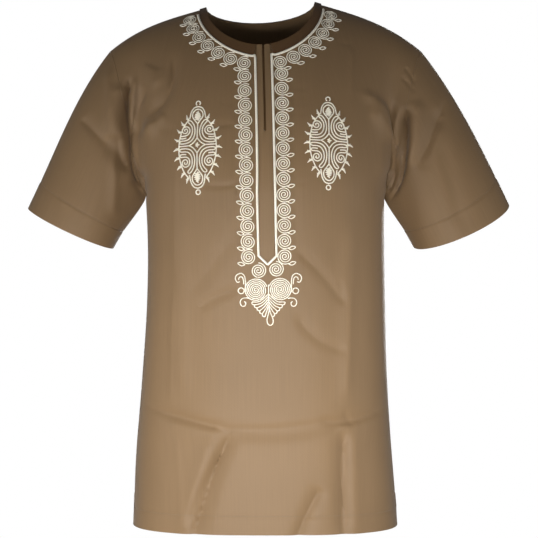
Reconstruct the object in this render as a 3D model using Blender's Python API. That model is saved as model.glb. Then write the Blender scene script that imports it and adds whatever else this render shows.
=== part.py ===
"""Embroidered pullover shirt, worn open on a general figure.

Metres, +Z up. The front faces -Y and the wearer's left is +X. The origin is at the
middle of the neck, level with the high points of the shoulders.
"""

from math import pi, radians, sin

import bmesh
import bpy
import numpy as np
from mathutils import Vector
from mathutils.bvhtree import BVHTree

# Cloth
WALL = 0.0012
HEM_EXTRA = 0.0005
SEAM_GAP = 0.0003
LAP_GAP = 0.0005
BAND_GAP = 0.0008
BAND_WALL = 0.0010
CORD_RADIUS = 0.0015

# Body
UNDERARM_Z = -0.275
HEM_Z = -0.747
HEM_DEPTH = 0.022
VENT_TOP_Z = -0.596
VENT_SPREAD = 0.005
VENT_SKEW = 0.25
VENT_START = 0.15
VENT_REACH = 24
CORNER_RADIUS = 0.024
CORNER_FADE = 6
HALF_GIRTH = 0.26
BODY_POWER = 2.7

# Neck and shoulders
NECK_CENTRE_X = -0.008
NECK_HALF_WIDTH = 0.078
NECK_FRONT_DROP = 0.067
NECK_BACK_DROP = 0.020
NECK_LEAN = 0.0020
NECK_SEARCH = 41
NECK_TILT = 0.05
NECK_POWER = 2.1
NECK_SHARE = 0.32
SHOULDER_SLOPE_IN = -0.30
SHOULDER_SLOPE_OUT = -0.85

# Trim
BAND_MIDDLE = 0.0185
BAND_SHOULDER = 0.0098
BAND_START = 1.08
PLACKET_SHARE = 0.0405
PLACKET_TOP_SHARE = 0.0263
PLACKET_SQUARE_Z = -0.363
PLACKET_TIP_Z = -0.371
SLIT_END_Z = -0.192
SLIT_HALF_GAP = 0.0030
CORD_BACK_SHARE = 0.10
CORD_START = 1.25
CORD_TOP_LEVEL = 0.97
TIP_SHARE = 0.05
EVEN_OUT = 0.003
WALK_STEP = 0.003

# Folds: the depth over which the front's give way to the back's, and how they fade at their ends
SIDE_BLEND = 0.024
FOLD_STEPS = 16
FOLD_FADE = 5.0
FOLD_END = 0.1

# Grid
UPPER_STEPS = 15
LOWER_STEPS = 17
SLEEVE_STEPS = 11
FINE = 4
BAND_STEPS = 16
BACK_BAND_STEPS = 22
CORD_STEPS = 18
GIRTH_SEARCH = 241
NORMAL_STEP = 0.001
HALF_COLUMNS = (
    0.0, 0.024, 0.048, 0.10, 0.15, 0.20, 0.25, 0.29, 0.32, 0.40,
    0.48, 0.56, 0.64, 0.72, 0.80, 0.88, 0.94, 0.98, 1.0,
)

# Body sections, from the underarm down
SECTION_COLUMNS = ("z", "half_width", "centre_x", "lean_x", "front", "back")
SECTIONS = (
    (-0.275, 0.1712, -0.0015, 0.0018, 0.128, 0.112),
    (-0.345, 0.1697, 0.0000, 0.0018, 0.125, 0.104),
    (-0.430, 0.1710, 0.0000, 0.0050, 0.119, 0.098),
    (-0.540, 0.1760, -0.0022, 0.0080, 0.117, 0.102),
    (-0.640, 0.1830, -0.0030, 0.0080, 0.120, 0.110),
    (-0.760, 0.1900, -0.0010, 0.0080, 0.123, 0.114),
)

# How the cloth leaves the underarm line and comes to the top edge, from the middle to the armhole
RISE_COLUMNS = ("share", "out_start", "depth_start", "up_start", "out_end", "depth_end", "up_end")
FRONT_RISE = (
    (0.00, 0.00, 0.00, 0.24, 0.00, -0.20, 0.050),
    (0.32, 0.00, 0.01, 0.24, 0.00, -0.18, 0.050),
    (0.70, 0.00, 0.02, 0.25, 0.01, -0.17, 0.045),
    (0.90, 0.01, 0.07, 0.22, 0.03, -0.17, 0.040),
    (1.00, 0.05, 0.20, 0.12, 0.05, -0.16, 0.040),
)
BACK_RISE = (
    (0.00, 0.00, 0.02, 0.27, 0.00, -0.17, 0.045),
    (0.32, 0.00, 0.02, 0.26, 0.00, -0.17, 0.045),
    (0.70, 0.00, 0.02, 0.26, 0.01, -0.17, 0.045),
    (0.90, 0.01, 0.06, 0.22, 0.03, -0.16, 0.040),
    (1.00, 0.05, 0.18, 0.12, 0.05, -0.15, 0.040),
)

# Shoulder points and cuffs, the wearer's right first
SLEEVE_COLUMNS = ("side", "shoulder_x", "outer_x", "outer_z", "inner_x", "inner_z", "front_drop")
SLEEVES = (
    (-1, -0.226, -0.3425, -0.293, -0.2219, -0.351, 0.006),
    (1, 0.225, 0.3494, -0.287, 0.2146, -0.3495, 0.016),
)
SHOULDER_Z = -0.067
CUFF_HALF_DEPTH = 0.053
CUFF_CENTRE_Y = -0.004
SLEEVE_HEM = 0.022
SLEEVE_OUT = (0.62, -0.78)

# Main folds: a trough has a height below zero
FOLD_COLUMNS = ("x0", "z0", "x1", "z1", "x2", "z2", "half_width", "height")
FRONT_FOLDS = (
    (-0.197, -0.130, -0.195, -0.186, -0.178, -0.262, 0.011, -0.0070),
    (-0.151, -0.172, -0.171, -0.200, -0.172, -0.250, 0.011, 0.0050),
    (-0.127, -0.103, -0.131, -0.135, -0.158, -0.165, 0.010, -0.0045),
    (-0.209, -0.115, -0.214, -0.160, -0.206, -0.200, 0.011, 0.0050),
    (-0.228, -0.190, -0.217, -0.215, -0.192, -0.240, 0.011, -0.0050),
    (-0.263, -0.166, -0.246, -0.182, -0.227, -0.204, 0.010, -0.0025),
    (0.144, -0.150, 0.168, -0.185, 0.160, -0.262, 0.011, 0.0055),
    (0.197, -0.150, 0.192, -0.205, 0.176, -0.268, 0.011, -0.0080),
    (0.211, -0.140, 0.213, -0.185, 0.206, -0.240, 0.011, 0.0050),
    (0.248, -0.150, 0.234, -0.200, 0.214, -0.240, 0.011, -0.0030),
    (-0.116, -0.290, -0.118, -0.430, -0.116, -0.570, 0.012, 0.0020),
    (0.118, -0.290, 0.113, -0.440, 0.114, -0.580, 0.012, 0.0020),
    (-0.044, -0.602, -0.072, -0.671, -0.098, -0.760, 0.014, -0.0055),
    (-0.070, -0.610, -0.095, -0.680, -0.118, -0.760, 0.013, 0.0030),
    (0.102, -0.600, 0.103, -0.672, 0.106, -0.765, 0.012, -0.0050),
    (0.120, -0.600, 0.121, -0.672, 0.124, -0.765, 0.012, 0.0030),
    (0.078, -0.680, 0.060, -0.712, 0.040, -0.765, 0.012, -0.0025),
    (-0.172, -0.566, -0.005, -0.607, 0.170, -0.568, 0.012, -0.0025),
)
BACK_FOLDS = (
    (-0.195, -0.135, -0.193, -0.190, -0.177, -0.262, 0.011, -0.0060),
    (-0.148, -0.165, -0.168, -0.200, -0.170, -0.255, 0.012, 0.0045),
    (-0.212, -0.120, -0.216, -0.165, -0.208, -0.215, 0.011, 0.0045),
    (0.195, -0.140, 0.193, -0.195, 0.177, -0.265, 0.011, -0.0065),
    (0.146, -0.160, 0.166, -0.195, 0.167, -0.258, 0.012, 0.0050),
    (0.213, -0.125, 0.216, -0.175, 0.207, -0.230, 0.011, 0.0045),
    (-0.070, -0.330, -0.088, -0.470, -0.094, -0.765, 0.015, 0.0035),
    (-0.045, -0.420, -0.058, -0.560, -0.066, -0.765, 0.014, -0.0045),
    (0.062, -0.360, 0.078, -0.520, 0.088, -0.765, 0.015, -0.0050),
    (0.034, -0.450, 0.044, -0.590, 0.050, -0.765, 0.014, 0.0030),
    (-0.168, -0.566, 0.000, -0.604, 0.168, -0.568, 0.012, -0.0025),
)


def smooth_rows(table, at):
    """Each column of a table at the places given, on a smooth curve through its rows."""
    rows = np.array(table, float)
    order = np.argsort(rows[:, 0])
    key, values = rows[order, 0], rows[order, 1:]
    slope = np.gradient(values, key, axis=0)
    at = np.clip(np.asarray(at, float), key[0], key[-1])
    low = np.clip(np.searchsorted(key, at, side="right") - 1, 0, len(key) - 2)
    step = (key[low + 1] - key[low])[..., None]
    t = (at - key[low])[..., None] / step
    return (
        (2 * t**3 - 3 * t**2 + 1) * values[low]
        + (t**3 - 2 * t**2 + t) * step * slope[low]
        + (3 * t**2 - 2 * t**3) * values[low + 1]
        + (t**3 - t**2) * step * slope[low + 1]
    )


def hermite(start, leave, end, arrive, t):
    """Points from start to end that leave and arrive in the directions given."""
    return (
        (2 * t**3 - 3 * t**2 + 1) * start
        + (t**3 - 2 * t**2 + t) * leave
        + (3 * t**2 - 2 * t**3) * end
        + (t**3 - t**2) * arrive
    )


def quarter_turn(share, half_width, depth, power):
    """Places round a quarter of a superellipse, from its middle to its side, by share of its length."""
    turn = np.linspace(0.0, pi / 2, GIRTH_SEARCH)
    x = half_width * np.abs(np.sin(turn)) ** (2 / power)
    y = depth * np.abs(np.cos(turn)) ** (2 / power)
    run = np.concatenate([[0.0], np.cumsum(np.hypot(np.diff(x), np.diff(y)))])
    return np.interp(share * run[-1], run, x), np.interp(share * run[-1], run, y)


def low_point(face, columns, z):
    """A row of body points at one height. face is -1 on the front and 1 on the back."""
    half_width, centre_x, lean_x, front, back = smooth_rows(SECTIONS, z)
    share, side = np.abs(columns), np.sign(columns)
    x, y = quarter_turn(share, half_width, front if face < 0 else back, BODY_POWER)
    lean = lean_x * (1 - share**2) ** 2 if face < 0 else 0.0
    vent = max(0.0, (VENT_TOP_Z - z) / (VENT_TOP_Z - HEM_Z))
    opened = sin(pi * min(1.0, VENT_START + (1 - VENT_START) * vent)) * (vent > 0)
    spread = VENT_SPREAD * opened * share**VENT_REACH
    edge = x + VENT_SKEW * face * spread
    return np.stack([centre_x + side * edge + lean, face * (y + spread), np.full_like(x, z)], 1)


def top_point(columns):
    """The line over the shoulders: right shoulder seam, an unbroken line over the neck, left seam."""
    share, side = np.abs(columns), np.sign(columns)
    turn = np.clip(columns / NECK_SHARE, -1, 1) * pi / 2
    x = NECK_HALF_WIDTH * np.sin(turn)
    width = 2 * NECK_HALF_WIDTH
    rise = -SHOULDER_SLOPE_IN * width
    over = hermite(-NECK_TILT * width / 2, rise, NECK_TILT * width / 2, -rise, x / width + 0.5)
    end_x = np.where(side < 0, SLEEVES[0][1], SLEEVES[1][1])
    run = np.abs(end_x - NECK_CENTRE_X) - NECK_HALF_WIDTH
    along = np.clip((share - NECK_SHARE) / (1 - NECK_SHARE), 0, 1)
    start_z = side * NECK_TILT * NECK_HALF_WIDTH
    seam = hermite(start_z, SHOULDER_SLOPE_IN * run, SHOULDER_Z, SHOULDER_SLOPE_OUT * run, along)
    x = NECK_CENTRE_X + x + side * run * along + NECK_LEAN * np.cos(turn) ** 2
    return np.stack([x, np.zeros_like(x), np.where(share > NECK_SHARE, seam, over)], 1)


def rising_point(face, columns, rise):
    """Points on the way from the underarm line at 0 to the line over the shoulders at 1."""
    start, end = low_point(face, columns, UNDERARM_Z), top_point(columns)
    drift = smooth_rows(FRONT_RISE if face < 0 else BACK_RISE, np.abs(columns))
    side = np.sign(columns)
    leave = np.stack([side * drift[:, 0], face * drift[:, 1], drift[:, 2]], 1)
    arrive = np.stack([side * drift[:, 3], face * drift[:, 4], drift[:, 5]], 1)
    return hermite(start, leave, end, arrive, rise)


def neck_rise(face, columns):
    """How far up its way each column meets the neck edge, or 1 outside the neck."""
    turn = np.clip(columns / NECK_SHARE, -1, 1) * pi / 2
    level = np.abs(np.cos(turn))
    drop = NECK_FRONT_DROP * level ** (2 / NECK_POWER) if face < 0 else NECK_BACK_DROP * level
    edge = NECK_TILT * NECK_HALF_WIDTH * np.sin(turn) - drop
    rises = np.linspace(0, 1, NECK_SEARCH)
    heights = np.stack([rising_point(face, columns, rise)[:, 2] for rise in rises])
    found = [np.interp(z, heights[:, i], rises) for i, z in enumerate(edge)]
    return np.where(np.abs(columns) < NECK_SHARE, found, 1.0)


def high_point(face, columns, level):
    """A row of body points between the underarm line at 0 and the top edge at 1."""
    return rising_point(face, columns, (level * neck_rise(face, columns))[:, None])


def neck_point(face, columns):
    """Points of the neck edge. The columns run from -1 at the right shoulder to 1 at the left."""
    return high_point(face, columns * NECK_SHARE, 1.0)


def hem_rise(columns):
    """How far the rounded corner lifts the hem at each column."""
    from_edge = (1 - np.abs(columns)) * HALF_GIRTH
    inside = np.clip(CORNER_RADIUS - from_edge, 0, CORNER_RADIUS)
    return CORNER_RADIUS - np.sqrt(CORNER_RADIUS**2 - inside**2)


def body_row(face, columns, level):
    """A row of a panel. Levels run from -1 at the hem, through 0 at the underarm, to 1 at the top."""
    if level >= 0:
        return high_point(face, columns, level)
    drop = -level
    points = low_point(face, columns, UNDERARM_Z + (HEM_Z - UNDERARM_Z) * drop)
    points[:, 2] += hem_rise(columns) * drop**CORNER_FADE
    return points


def body_grid(face, columns, levels):
    return np.stack([body_row(face, columns, level) for level in levels])


def cuff_frame(sleeve):
    side, _, outer_x, outer_z, inner_x, inner_z, drop = sleeve
    outer, inner = np.array([outer_x, 0.0, outer_z]), np.array([inner_x, 0.0, inner_z])
    across = outer - inner
    down = np.array([side * -across[2], 0.0, side * across[0]])
    down = down / np.linalg.norm(down)
    down = down if down[2] < 0 else -down
    return (outer + inner) / 2 + [0, CUFF_CENTRE_Y, 0], across / 2, down, drop


def sleeve_grid(sleeve, rises, steps):
    """Rings from the armhole to the cuff. Each starts at the underarm and passes the front first."""
    edge = float(sleeve[0])
    column = np.array([edge])
    front = np.concatenate([high_point(-1, column, rise) for rise in rises])
    back = np.concatenate([high_point(1, column, rise) for rise in rises])
    armhole = np.concatenate([front, back[-2::-1]])
    centre, across, down, drop = cuff_frame(sleeve)
    run = np.concatenate([[0.0], np.cumsum(np.linalg.norm(np.diff(armhole, axis=0), axis=1))])
    middle = len(rises) - 1
    turn = np.where(
        np.arange(len(run)) <= middle,
        pi * run / run[middle],
        pi + pi * (run - run[middle]) / (run[-1] - run[middle]),
    )[:, None]
    forward = np.array([0.0, -CUFF_HALF_DEPTH, 0.0]) + down * drop
    cuff = centre - across * np.cos(turn) + forward * np.sin(turn)
    length = np.linalg.norm(cuff - armhole, axis=1, keepdims=True)
    top = (1 - np.cos(turn)) / 2
    out = np.array([edge * SLEEVE_OUT[0], 0.0, SLEEVE_OUT[1]])
    leave = (down * (1 - top) + out * top) * length
    to_hem = 1 - SLEEVE_HEM / length
    places = [share * to_hem for share in np.linspace(0, 1, steps)] + [1.0]
    return np.stack([hermite(armhole, leave, cuff, down * length, t) for t in places])


def fold_height(points, folds):
    """Height of the folds at each point, from its place seen from the front."""
    flat = points[:, [0, 2]]
    height = np.zeros(len(flat))
    for x0, z0, x1, z1, x2, z2, half_width, rise in folds:
        t = np.linspace(0, 1, FOLD_STEPS + 1)[:, None]
        bend = 2 * np.array([x1, z1]) - 0.5 * np.array([x0 + x2, z0 + z2])
        line = (1 - t) ** 2 * [x0, z0] + 2 * t * (1 - t) * bend + t**2 * [x2, z2]
        near = np.full(len(flat), np.inf)
        place = np.zeros(len(flat))
        for i in range(len(line) - 1):
            step = line[i + 1] - line[i]
            along = np.clip((flat - line[i]) @ step / (step @ step), 0, 1)
            gap = np.linalg.norm(flat - line[i] - along[:, None] * step, axis=1)
            closer = gap < near
            near = np.where(closer, gap, near)
            place = np.where(closer, (i + along) / (len(line) - 1), place)
        fade = np.clip(np.minimum(place, 1 - place) * FOLD_FADE + FOLD_END, 0, 1)
        height += rise * np.exp(-((near / half_width) ** 2)) * fade**2 * (3 - 2 * fade)
    return height


def joined_normals(grids):
    """Unit normals of all the grids as one surface, so that neighbours share theirs along a seam."""
    sums = {}
    keys = []
    for grid in grids:
        across = grid[:-1, 1:] - grid[1:, :-1]
        other = grid[1:, 1:] - grid[:-1, :-1]
        face = np.cross(across, other)
        total = np.zeros_like(grid)
        for rows, columns in ((0, 0), (0, 1), (1, 0), (1, 1)):
            total[rows : rows + len(face), columns : columns + face.shape[1]] += face
        key = [tuple(k) for k in np.round(grid.reshape(-1, 3) * 1e5).astype(int)]
        keys.append(key)
        for k, normal in zip(key, total.reshape(-1, 3)):
            sums[k] = sums.get(k, 0) + normal
    result = []
    for grid, key in zip(grids, keys):
        normal = np.array([sums[k] for k in key])
        normal /= np.maximum(np.linalg.norm(normal, axis=1, keepdims=True), 1e-12)
        result.append(normal.reshape(grid.shape))
    return result


def shirt_surfaces(columns, levels, sleeve_steps):
    """The middle surfaces of front, back, right sleeve and left sleeve, and their normals."""
    rises = [level for level in levels if level >= 0]
    front = body_grid(-1, columns, levels)
    back = body_grid(1, columns[::-1], levels)
    right = sleeve_grid(SLEEVES[0], rises, sleeve_steps)
    left = sleeve_grid(SLEEVES[1], rises, sleeve_steps)[:, ::-1]
    grids = [front, back, right, left]
    normals = joined_normals(grids)
    for i, (grid, normal) in enumerate(zip(grids, normals)):
        points = grid.reshape(-1, 3)
        ahead = np.clip(0.5 - points[:, 1] / SIDE_BLEND, 0, 1)
        height = ahead * fold_height(points, FRONT_FOLDS) + (1 - ahead) * fold_height(points, BACK_FOLDS)
        grids[i] = grid + normal * height.reshape(grid.shape[:2] + (1,))
    return grids, joined_normals(grids)


def seam_shift(grid, normals, sides=True, top=True, bottom=True):
    """The grid with its sewn edges pulled in by half the seam gap. A ring has no sewn sides."""
    moved = grid.copy()

    def pull(edge, inner, normal):
        along = np.gradient(edge, axis=0)
        if not sides:
            along[0] = along[-1] = edge[1] - edge[-2]
        step = np.cross(along, normal)
        step *= np.sign(np.sum(step * (inner - edge), axis=-1, keepdims=True))
        return step * (SEAM_GAP / 2 / np.linalg.norm(step, axis=-1, keepdims=True))

    if sides:
        moved[:, 0] += pull(grid[:, 0], grid[:, 1], normals[:, 0])
        moved[:, -1] += pull(grid[:, -1], grid[:, -2], normals[:, -1])
    if top:
        moved[-1] += pull(grid[-1], grid[-2], normals[-1])
    if bottom:
        moved[0] += pull(grid[0], grid[1], normals[0])
    return moved


def material(name, colour, roughness):
    made = bpy.data.materials.new(name)
    made.use_nodes = True
    shader = made.node_tree.nodes["Principled BSDF"]
    shader.inputs["Base Color"].default_value = (*colour, 1.0)
    shader.inputs["Roughness"].default_value = roughness
    shader.inputs["Metallic"].default_value = 0.0
    return made


def place(bm, name, finish):
    mesh = bpy.data.meshes.new(name)
    bmesh.ops.recalc_face_normals(bm, faces=bm.faces)
    bm.to_mesh(mesh)
    bm.free()
    mesh.materials.append(finish)
    mesh.shade_smooth()
    mesh.set_sharp_from_angle(angle=radians(50))
    made = bpy.data.objects.new(name, mesh)
    bpy.context.scene.collection.objects.link(made)
    return made


def cloth_wall(name, grid, normals, finish, outside, inside, slit=None, round_tube=False):
    """A closed cloth wall round a grid of middle points.

    outside and inside are how far each point's two faces lie from the middle. slit gives
    the column, the first row and each row's half gap of a cut that opens at the last row.
    """
    rows, columns = grid.shape[:2]
    bm = bmesh.new()
    bmesh.ops.create_grid(bm, x_segments=columns - 1, y_segments=rows - 1, size=1)
    index = bm.verts.layers.int.new("index")
    shift = bm.verts.layers.float.new("shift")
    bm.verts.ensure_lookup_table()
    for i, vert in enumerate(bm.verts):
        vert[index] = i
    if slit:
        column, first_row, half_gaps = slit
        cut = set(range(first_row * columns + column, rows * columns, columns))
        edges = [e for e in bm.edges if {e.verts[0][index], e.verts[1][index]} <= cut]
        bmesh.ops.split_edges(bm, edges=edges)
        for vert in bm.verts:
            if vert[index] in cut and vert[index] != first_row * columns + column:
                row = vert[index] // columns
                middle = sum(f.calc_center_median().x for f in vert.link_faces) / len(vert.link_faces)
                vert[shift] = half_gaps[row] * (1 if middle > vert.co.x else -1)
    if round_tube:
        ends = {r * columns + columns - 1: r * columns for r in range(rows)}
        by_index = {v[index]: v for v in bm.verts}
        bmesh.ops.weld_verts(bm, targetmap={by_index[a]: by_index[b] for a, b in ends.items()})
    made = bmesh.ops.extrude_face_region(bm, geom=bm.faces[:])
    outer = {v for v in made["geom"] if isinstance(v, bmesh.types.BMVert)}
    points, across = grid.reshape(-1, 3), normals.reshape(-1, 3)
    out, back = np.broadcast_to(outside, (rows, columns)), np.broadcast_to(inside, (rows, columns))
    out, back = out.reshape(-1), back.reshape(-1)
    for vert in bm.verts:
        i = vert[index]
        lift = out[i] if vert in outer else -back[i]
        vert.co = Vector(points[i] + across[i] * lift) + Vector((vert[shift], 0, 0))
    bmesh.ops.triangulate(bm, faces=bm.faces[:], quad_method="SHORT_EDGE")
    return place(bm, name, finish)


def grid_levels():
    """Row levels from hem to top, with a pair of rows at the hem's stitching and one at the slit's end."""
    length = UNDERARM_Z - HEM_Z
    hem = HEM_DEPTH / length
    lower = np.linspace(-1 + hem, 0, LOWER_STEPS + 1)[:-1]
    even = np.linspace(0, 1, UPPER_STEPS + 1)
    upper = (even + np.sin(even * pi / 2)) / 2
    trial = np.linspace(0, 1, 201)
    heights = [high_point(-1, np.zeros(1), t)[0, 2] for t in trial]
    slit = float(np.interp(SLIT_END_Z, heights, trial))
    upper[np.argmin(np.abs(upper - slit))] = slit
    levels = np.concatenate([[-1, lower[0] - 0.002], lower, upper])
    return levels, int(np.argmin(np.abs(levels - slit)))


def mirrored_columns(half):
    return np.concatenate([-np.array(half[:0:-1]), np.array(half)])


def finer(values, times):
    places = np.arange((len(values) - 1) * times + 1) / times
    return np.interp(places, np.arange(len(values)), values)


def surface_tree(grids):
    """A search tree over the front and back."""
    points, faces = [], []
    for grid in grids:
        rows, columns = grid.shape[:2]
        start = len(points)
        points.extend(Vector(p) for p in grid.reshape(-1, 3))
        for r in range(rows - 1):
            for c in range(columns - 1):
                a = start + r * columns + c
                faces.append((a, a + 1, a + columns + 1, a + columns))
    return BVHTree.FromPolygons(points, faces)


def laid(trees, point, lift):
    """The place above the cloth nearest a point, and the cloth's normal there, evened out."""
    panels, smooth = trees
    where = panels.find_nearest(Vector(point))[0]
    normal = Vector((0, 0, 0))
    for x, y in ((0, 0), (1, 0), (-1, 0), (0, 1), (0, -1)):
        normal += smooth.find_nearest(where + Vector((x, y, 0)) * EVEN_OUT)[1]
    normal = np.array(normal.normalized())
    return np.array(where) + normal * lift, normal


def neck_run(face, start, end, steps):
    """Points of the neck edge between two places on it, and the directions along it."""
    points = neck_point(face, np.linspace(start, end, steps + 1))
    ahead = np.gradient(points, axis=0)
    return points, ahead / np.linalg.norm(ahead, axis=1, keepdims=True)


def away_from_neck(trees, points, ahead):
    """The direction on the cloth, square to the neck edge and away from the neck."""
    hole = np.array([NECK_CENTRE_X, 0.0, -NECK_FRONT_DROP / 2])
    result = []
    for point, along in zip(points, ahead):
        side = np.cross(laid(trees, point, 0)[1], along)
        if abs(point[1]) < 1e-6:
            edge = np.sign(point[0] - NECK_CENTRE_X) * NECK_SHARE
            side = top_point(np.array([edge * 1.1]))[0] - point
        side /= np.linalg.norm(side)
        result.append(side if side @ (point - hole) > 0 else -side)
    return np.array(result)


def walk(trees, start, heading, distances):
    """Places on the cloth at rising distances from a start, keeping as straight as the cloth lets it."""
    here, done, result = laid(trees, start, 0)[0], 0.0, []
    for distance in distances:
        steps = max(1, round((distance - done) / WALK_STEP))
        for _ in range(steps if distance > done else 0):
            onward = laid(trees, here + heading * (distance - done) / steps, 0)[0]
            heading = (onward - here) / np.linalg.norm(onward - here)
            here = onward
        done = distance
        result.append(here)
    return result


def band_width(face, places):
    """How wide the neckband is at places on the neck edge. It is widest at the middle of the front."""
    middle = (1 - np.abs(places)) * (face < 0)
    return BAND_SHOULDER + (BAND_MIDDLE - BAND_SHOULDER) * middle


def band_piece(trees, name, face, start, end, steps, finish):
    points, ahead = neck_run(face, start, end, steps)
    away = away_from_neck(trees, points, ahead)
    lift = WALL / 2 + BAND_GAP + BAND_WALL / 2
    widths = band_width(face, np.linspace(start, end, steps + 1))
    across = widths[:, None] * np.linspace(0, 1, 4)
    rows = [[laid(trees, p, lift) for p in walk(trees, *way)] for way in zip(points, away, across)]
    grid = np.array([[where for where, _ in row] for row in rows]).swapaxes(0, 1)
    normals = np.array([[normal for _, normal in row] for row in rows]).swapaxes(0, 1)
    half = BAND_WALL / 2
    shifted = seam_shift(grid, normals, top=False, bottom=False)
    return cloth_wall(name, shifted, normals, finish, half, half)


def placket_share(level):
    """Half the placket's width as a share of the half girth. It narrows from the underarm to the neck."""
    return PLACKET_SHARE + (PLACKET_TOP_SHARE - PLACKET_SHARE) * max(0.0, level)


def cord_route(trees, levels):
    """The cord's way round the right band, down and up the placket, and round the left band."""
    lift = WALL / 2 + BAND_GAP + CORD_RADIUS
    beside = CORD_RADIUS + 3 * SEAM_GAP
    square = (PLACKET_SQUARE_Z - UNDERARM_Z) / (UNDERARM_Z - HEM_Z)
    tip = (PLACKET_TIP_Z - UNDERARM_Z) / (UNDERARM_Z - HEM_Z)
    corner_share = PLACKET_TOP_SHARE / NECK_SHARE
    round_neck, down = {}, {}
    for side in (-1, 1):
        start, end = side * (1 - CORD_BACK_SHARE), side * corner_share * CORD_START
        points, ahead = neck_run(-1, start, end, CORD_STEPS)
        away = away_from_neck(trees, points, ahead)
        out = band_width(-1, np.linspace(start, end, CORD_STEPS + 1))[:, None] + beside
        round_neck[side] = [walk(trees, *way)[0] for way in zip(points, away, out)]
        rows = [square, *(level for level in levels if square < level < CORD_TOP_LEVEL)]
        columns = [np.array([side * placket_share(level)]) for level in rows]
        points = np.concatenate([body_row(-1, column, level) for column, level in zip(columns, rows)])
        points[:, 0] += side * beside
        corner = points[-1].copy()
        corner[2] = round_neck[side][-1][2] - SEAM_GAP
        below = [p for p in points if p[2] < corner[2] - CORD_RADIUS]
        down[side] = [*below, corner][::-1]
    middle = body_row(-1, np.zeros(1), tip)[0]
    middle[2] -= 1.8 * beside
    route = [*round_neck[-1], *down[-1], middle, *down[1][::-1], *round_neck[1][::-1]]
    return [laid(trees, point, lift)[0] for point in route]


def cord_piece(route, name, finish):
    curve = bpy.data.curves.new(name, "CURVE")
    curve.dimensions = "3D"
    curve.bevel_depth = CORD_RADIUS
    curve.bevel_resolution = 1
    curve.use_fill_caps = True
    spline = curve.splines.new("POLY")
    spline.points.add(len(route) - 1)
    for point, where in zip(spline.points, route):
        point.co = (*where, 1.0)
    made = bpy.data.objects.new(name, curve)
    made.data.materials.append(finish)
    bpy.context.scene.collection.objects.link(made)
    return made


def placket_piece(levels, slit_row, finish):
    """The strip over the front's middle, with the slit in its upper part and a point at its foot."""
    square = (PLACKET_SQUARE_Z - UNDERARM_Z) / (UNDERARM_Z - HEM_Z)
    tip = (PLACKET_TIP_Z - UNDERARM_Z) / (UNDERARM_Z - HEM_Z)
    above = [level for level in levels if level > square + 0.01]
    rows = [(tip, TIP_SHARE), (square, 1.0)] + [(level, 1.0) for level in above]
    across = np.array([-1, -0.5, 0, 0.5, 1])
    grid = np.stack([body_row(-1, across * width * placket_share(level), level) for level, width in rows])
    normals = surface_normals(PLACKET_SHARE * across, [level for level, _ in rows])
    grid = grid + normals * (WALL / 2 + LAP_GAP + BAND_WALL / 2)
    first = [level for level, _ in rows].index(levels[slit_row])
    gaps = [SLIT_HALF_GAP] * len(rows)
    half = BAND_WALL / 2
    return cloth_wall("placket", grid, normals, finish, half, half, slit=(2, first, gaps))


def underlap_piece(levels, slit_row, finish):
    """The strip behind the slit, sewn along its left edge."""
    rows = levels[slit_row - 1 : -1]
    across = np.array([-0.5, 0, 0.5, 1.0])
    grid = np.stack([body_row(-1, across * placket_share(level), level) for level in rows])
    normals = surface_normals(PLACKET_SHARE * across, rows)
    grid = grid - normals * (WALL / 2 + LAP_GAP + BAND_WALL / 2)
    half = BAND_WALL / 2
    return cloth_wall("underlap", grid, normals, finish, half, half)


def surface_normals(columns, levels):
    """Normals of the smooth front at the columns and levels given."""
    result = []
    for level in levels:
        low = body_row(-1, columns, max(-1, level - NORMAL_STEP))
        high = body_row(-1, columns, min(1, level + NORMAL_STEP))
        left = body_row(-1, columns - NORMAL_STEP, level)
        right = body_row(-1, columns + NORMAL_STEP, level)
        normal = np.cross(right - left, high - low)
        result.append(normal / np.linalg.norm(normal, axis=1, keepdims=True))
    return np.array(result)


def build():
    for old in list(bpy.data.objects):
        bpy.data.objects.remove(old)
    cloth = material("brown_cotton_satin", (0.24, 0.17, 0.11), 0.55)
    trim = material("brown_cotton_binding", (0.17, 0.11, 0.07), 0.6)
    thread = material("cream_embroidery_thread", (0.86, 0.76, 0.58), 0.5)

    levels, slit_row = grid_levels()
    columns = mirrored_columns(HALF_COLUMNS)
    (front, back, right, left), normals = shirt_surfaces(columns, levels, SLEEVE_STEPS)
    half = WALL / 2
    body_out = np.full(front.shape[:2], half)
    body_out[:2] += HEM_EXTRA
    middle = len(columns) // 2
    gaps = [SLIT_HALF_GAP] * len(levels)
    cloth_wall(
        "front", seam_shift(front, normals[0], bottom=False), normals[0], cloth, body_out, half,
        slit=(middle, slit_row, gaps),
    )
    cloth_wall("back", seam_shift(back, normals[1], bottom=False), normals[1], cloth, body_out, half)
    for name, grid, normal in (("right_sleeve", right, normals[2]), ("left_sleeve", left, normals[3])):
        out = np.full(grid.shape[:2], half)
        out[-2:] += HEM_EXTRA
        grid = seam_shift(grid, normal, sides=False, top=False)
        cloth_wall(name, grid, normal, cloth, out, half, round_tube=True)

    fine_columns, fine_levels = finer(columns, FINE), finer(levels, FINE)
    fine, _ = shirt_surfaces(fine_columns, fine_levels, SLEEVE_STEPS)
    trees = surface_tree([front, back]), surface_tree(fine[:2])
    start = PLACKET_TOP_SHARE / NECK_SHARE * BAND_START
    band_piece(trees, "right_neckband", -1, -1.0, -start, BAND_STEPS, trim)
    band_piece(trees, "left_neckband", -1, start, 1.0, BAND_STEPS, trim)
    band_piece(trees, "back_neckband", 1, 1.0, -1.0, BACK_BAND_STEPS, trim)
    placket_piece(levels, slit_row, trim)
    underlap_piece(levels, slit_row, trim)
    cord_piece(cord_route(trees, levels), "neck_cord", thread)


build()
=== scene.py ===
"""Embroidered pullover shirt: its satin cloth, bindings, cream cord and stitched thread.

Metres, +Z up. The front faces -Y and the wearer's left is +X. The origin is at the
middle of the neck, level with the high points of the shoulders.
"""

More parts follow.
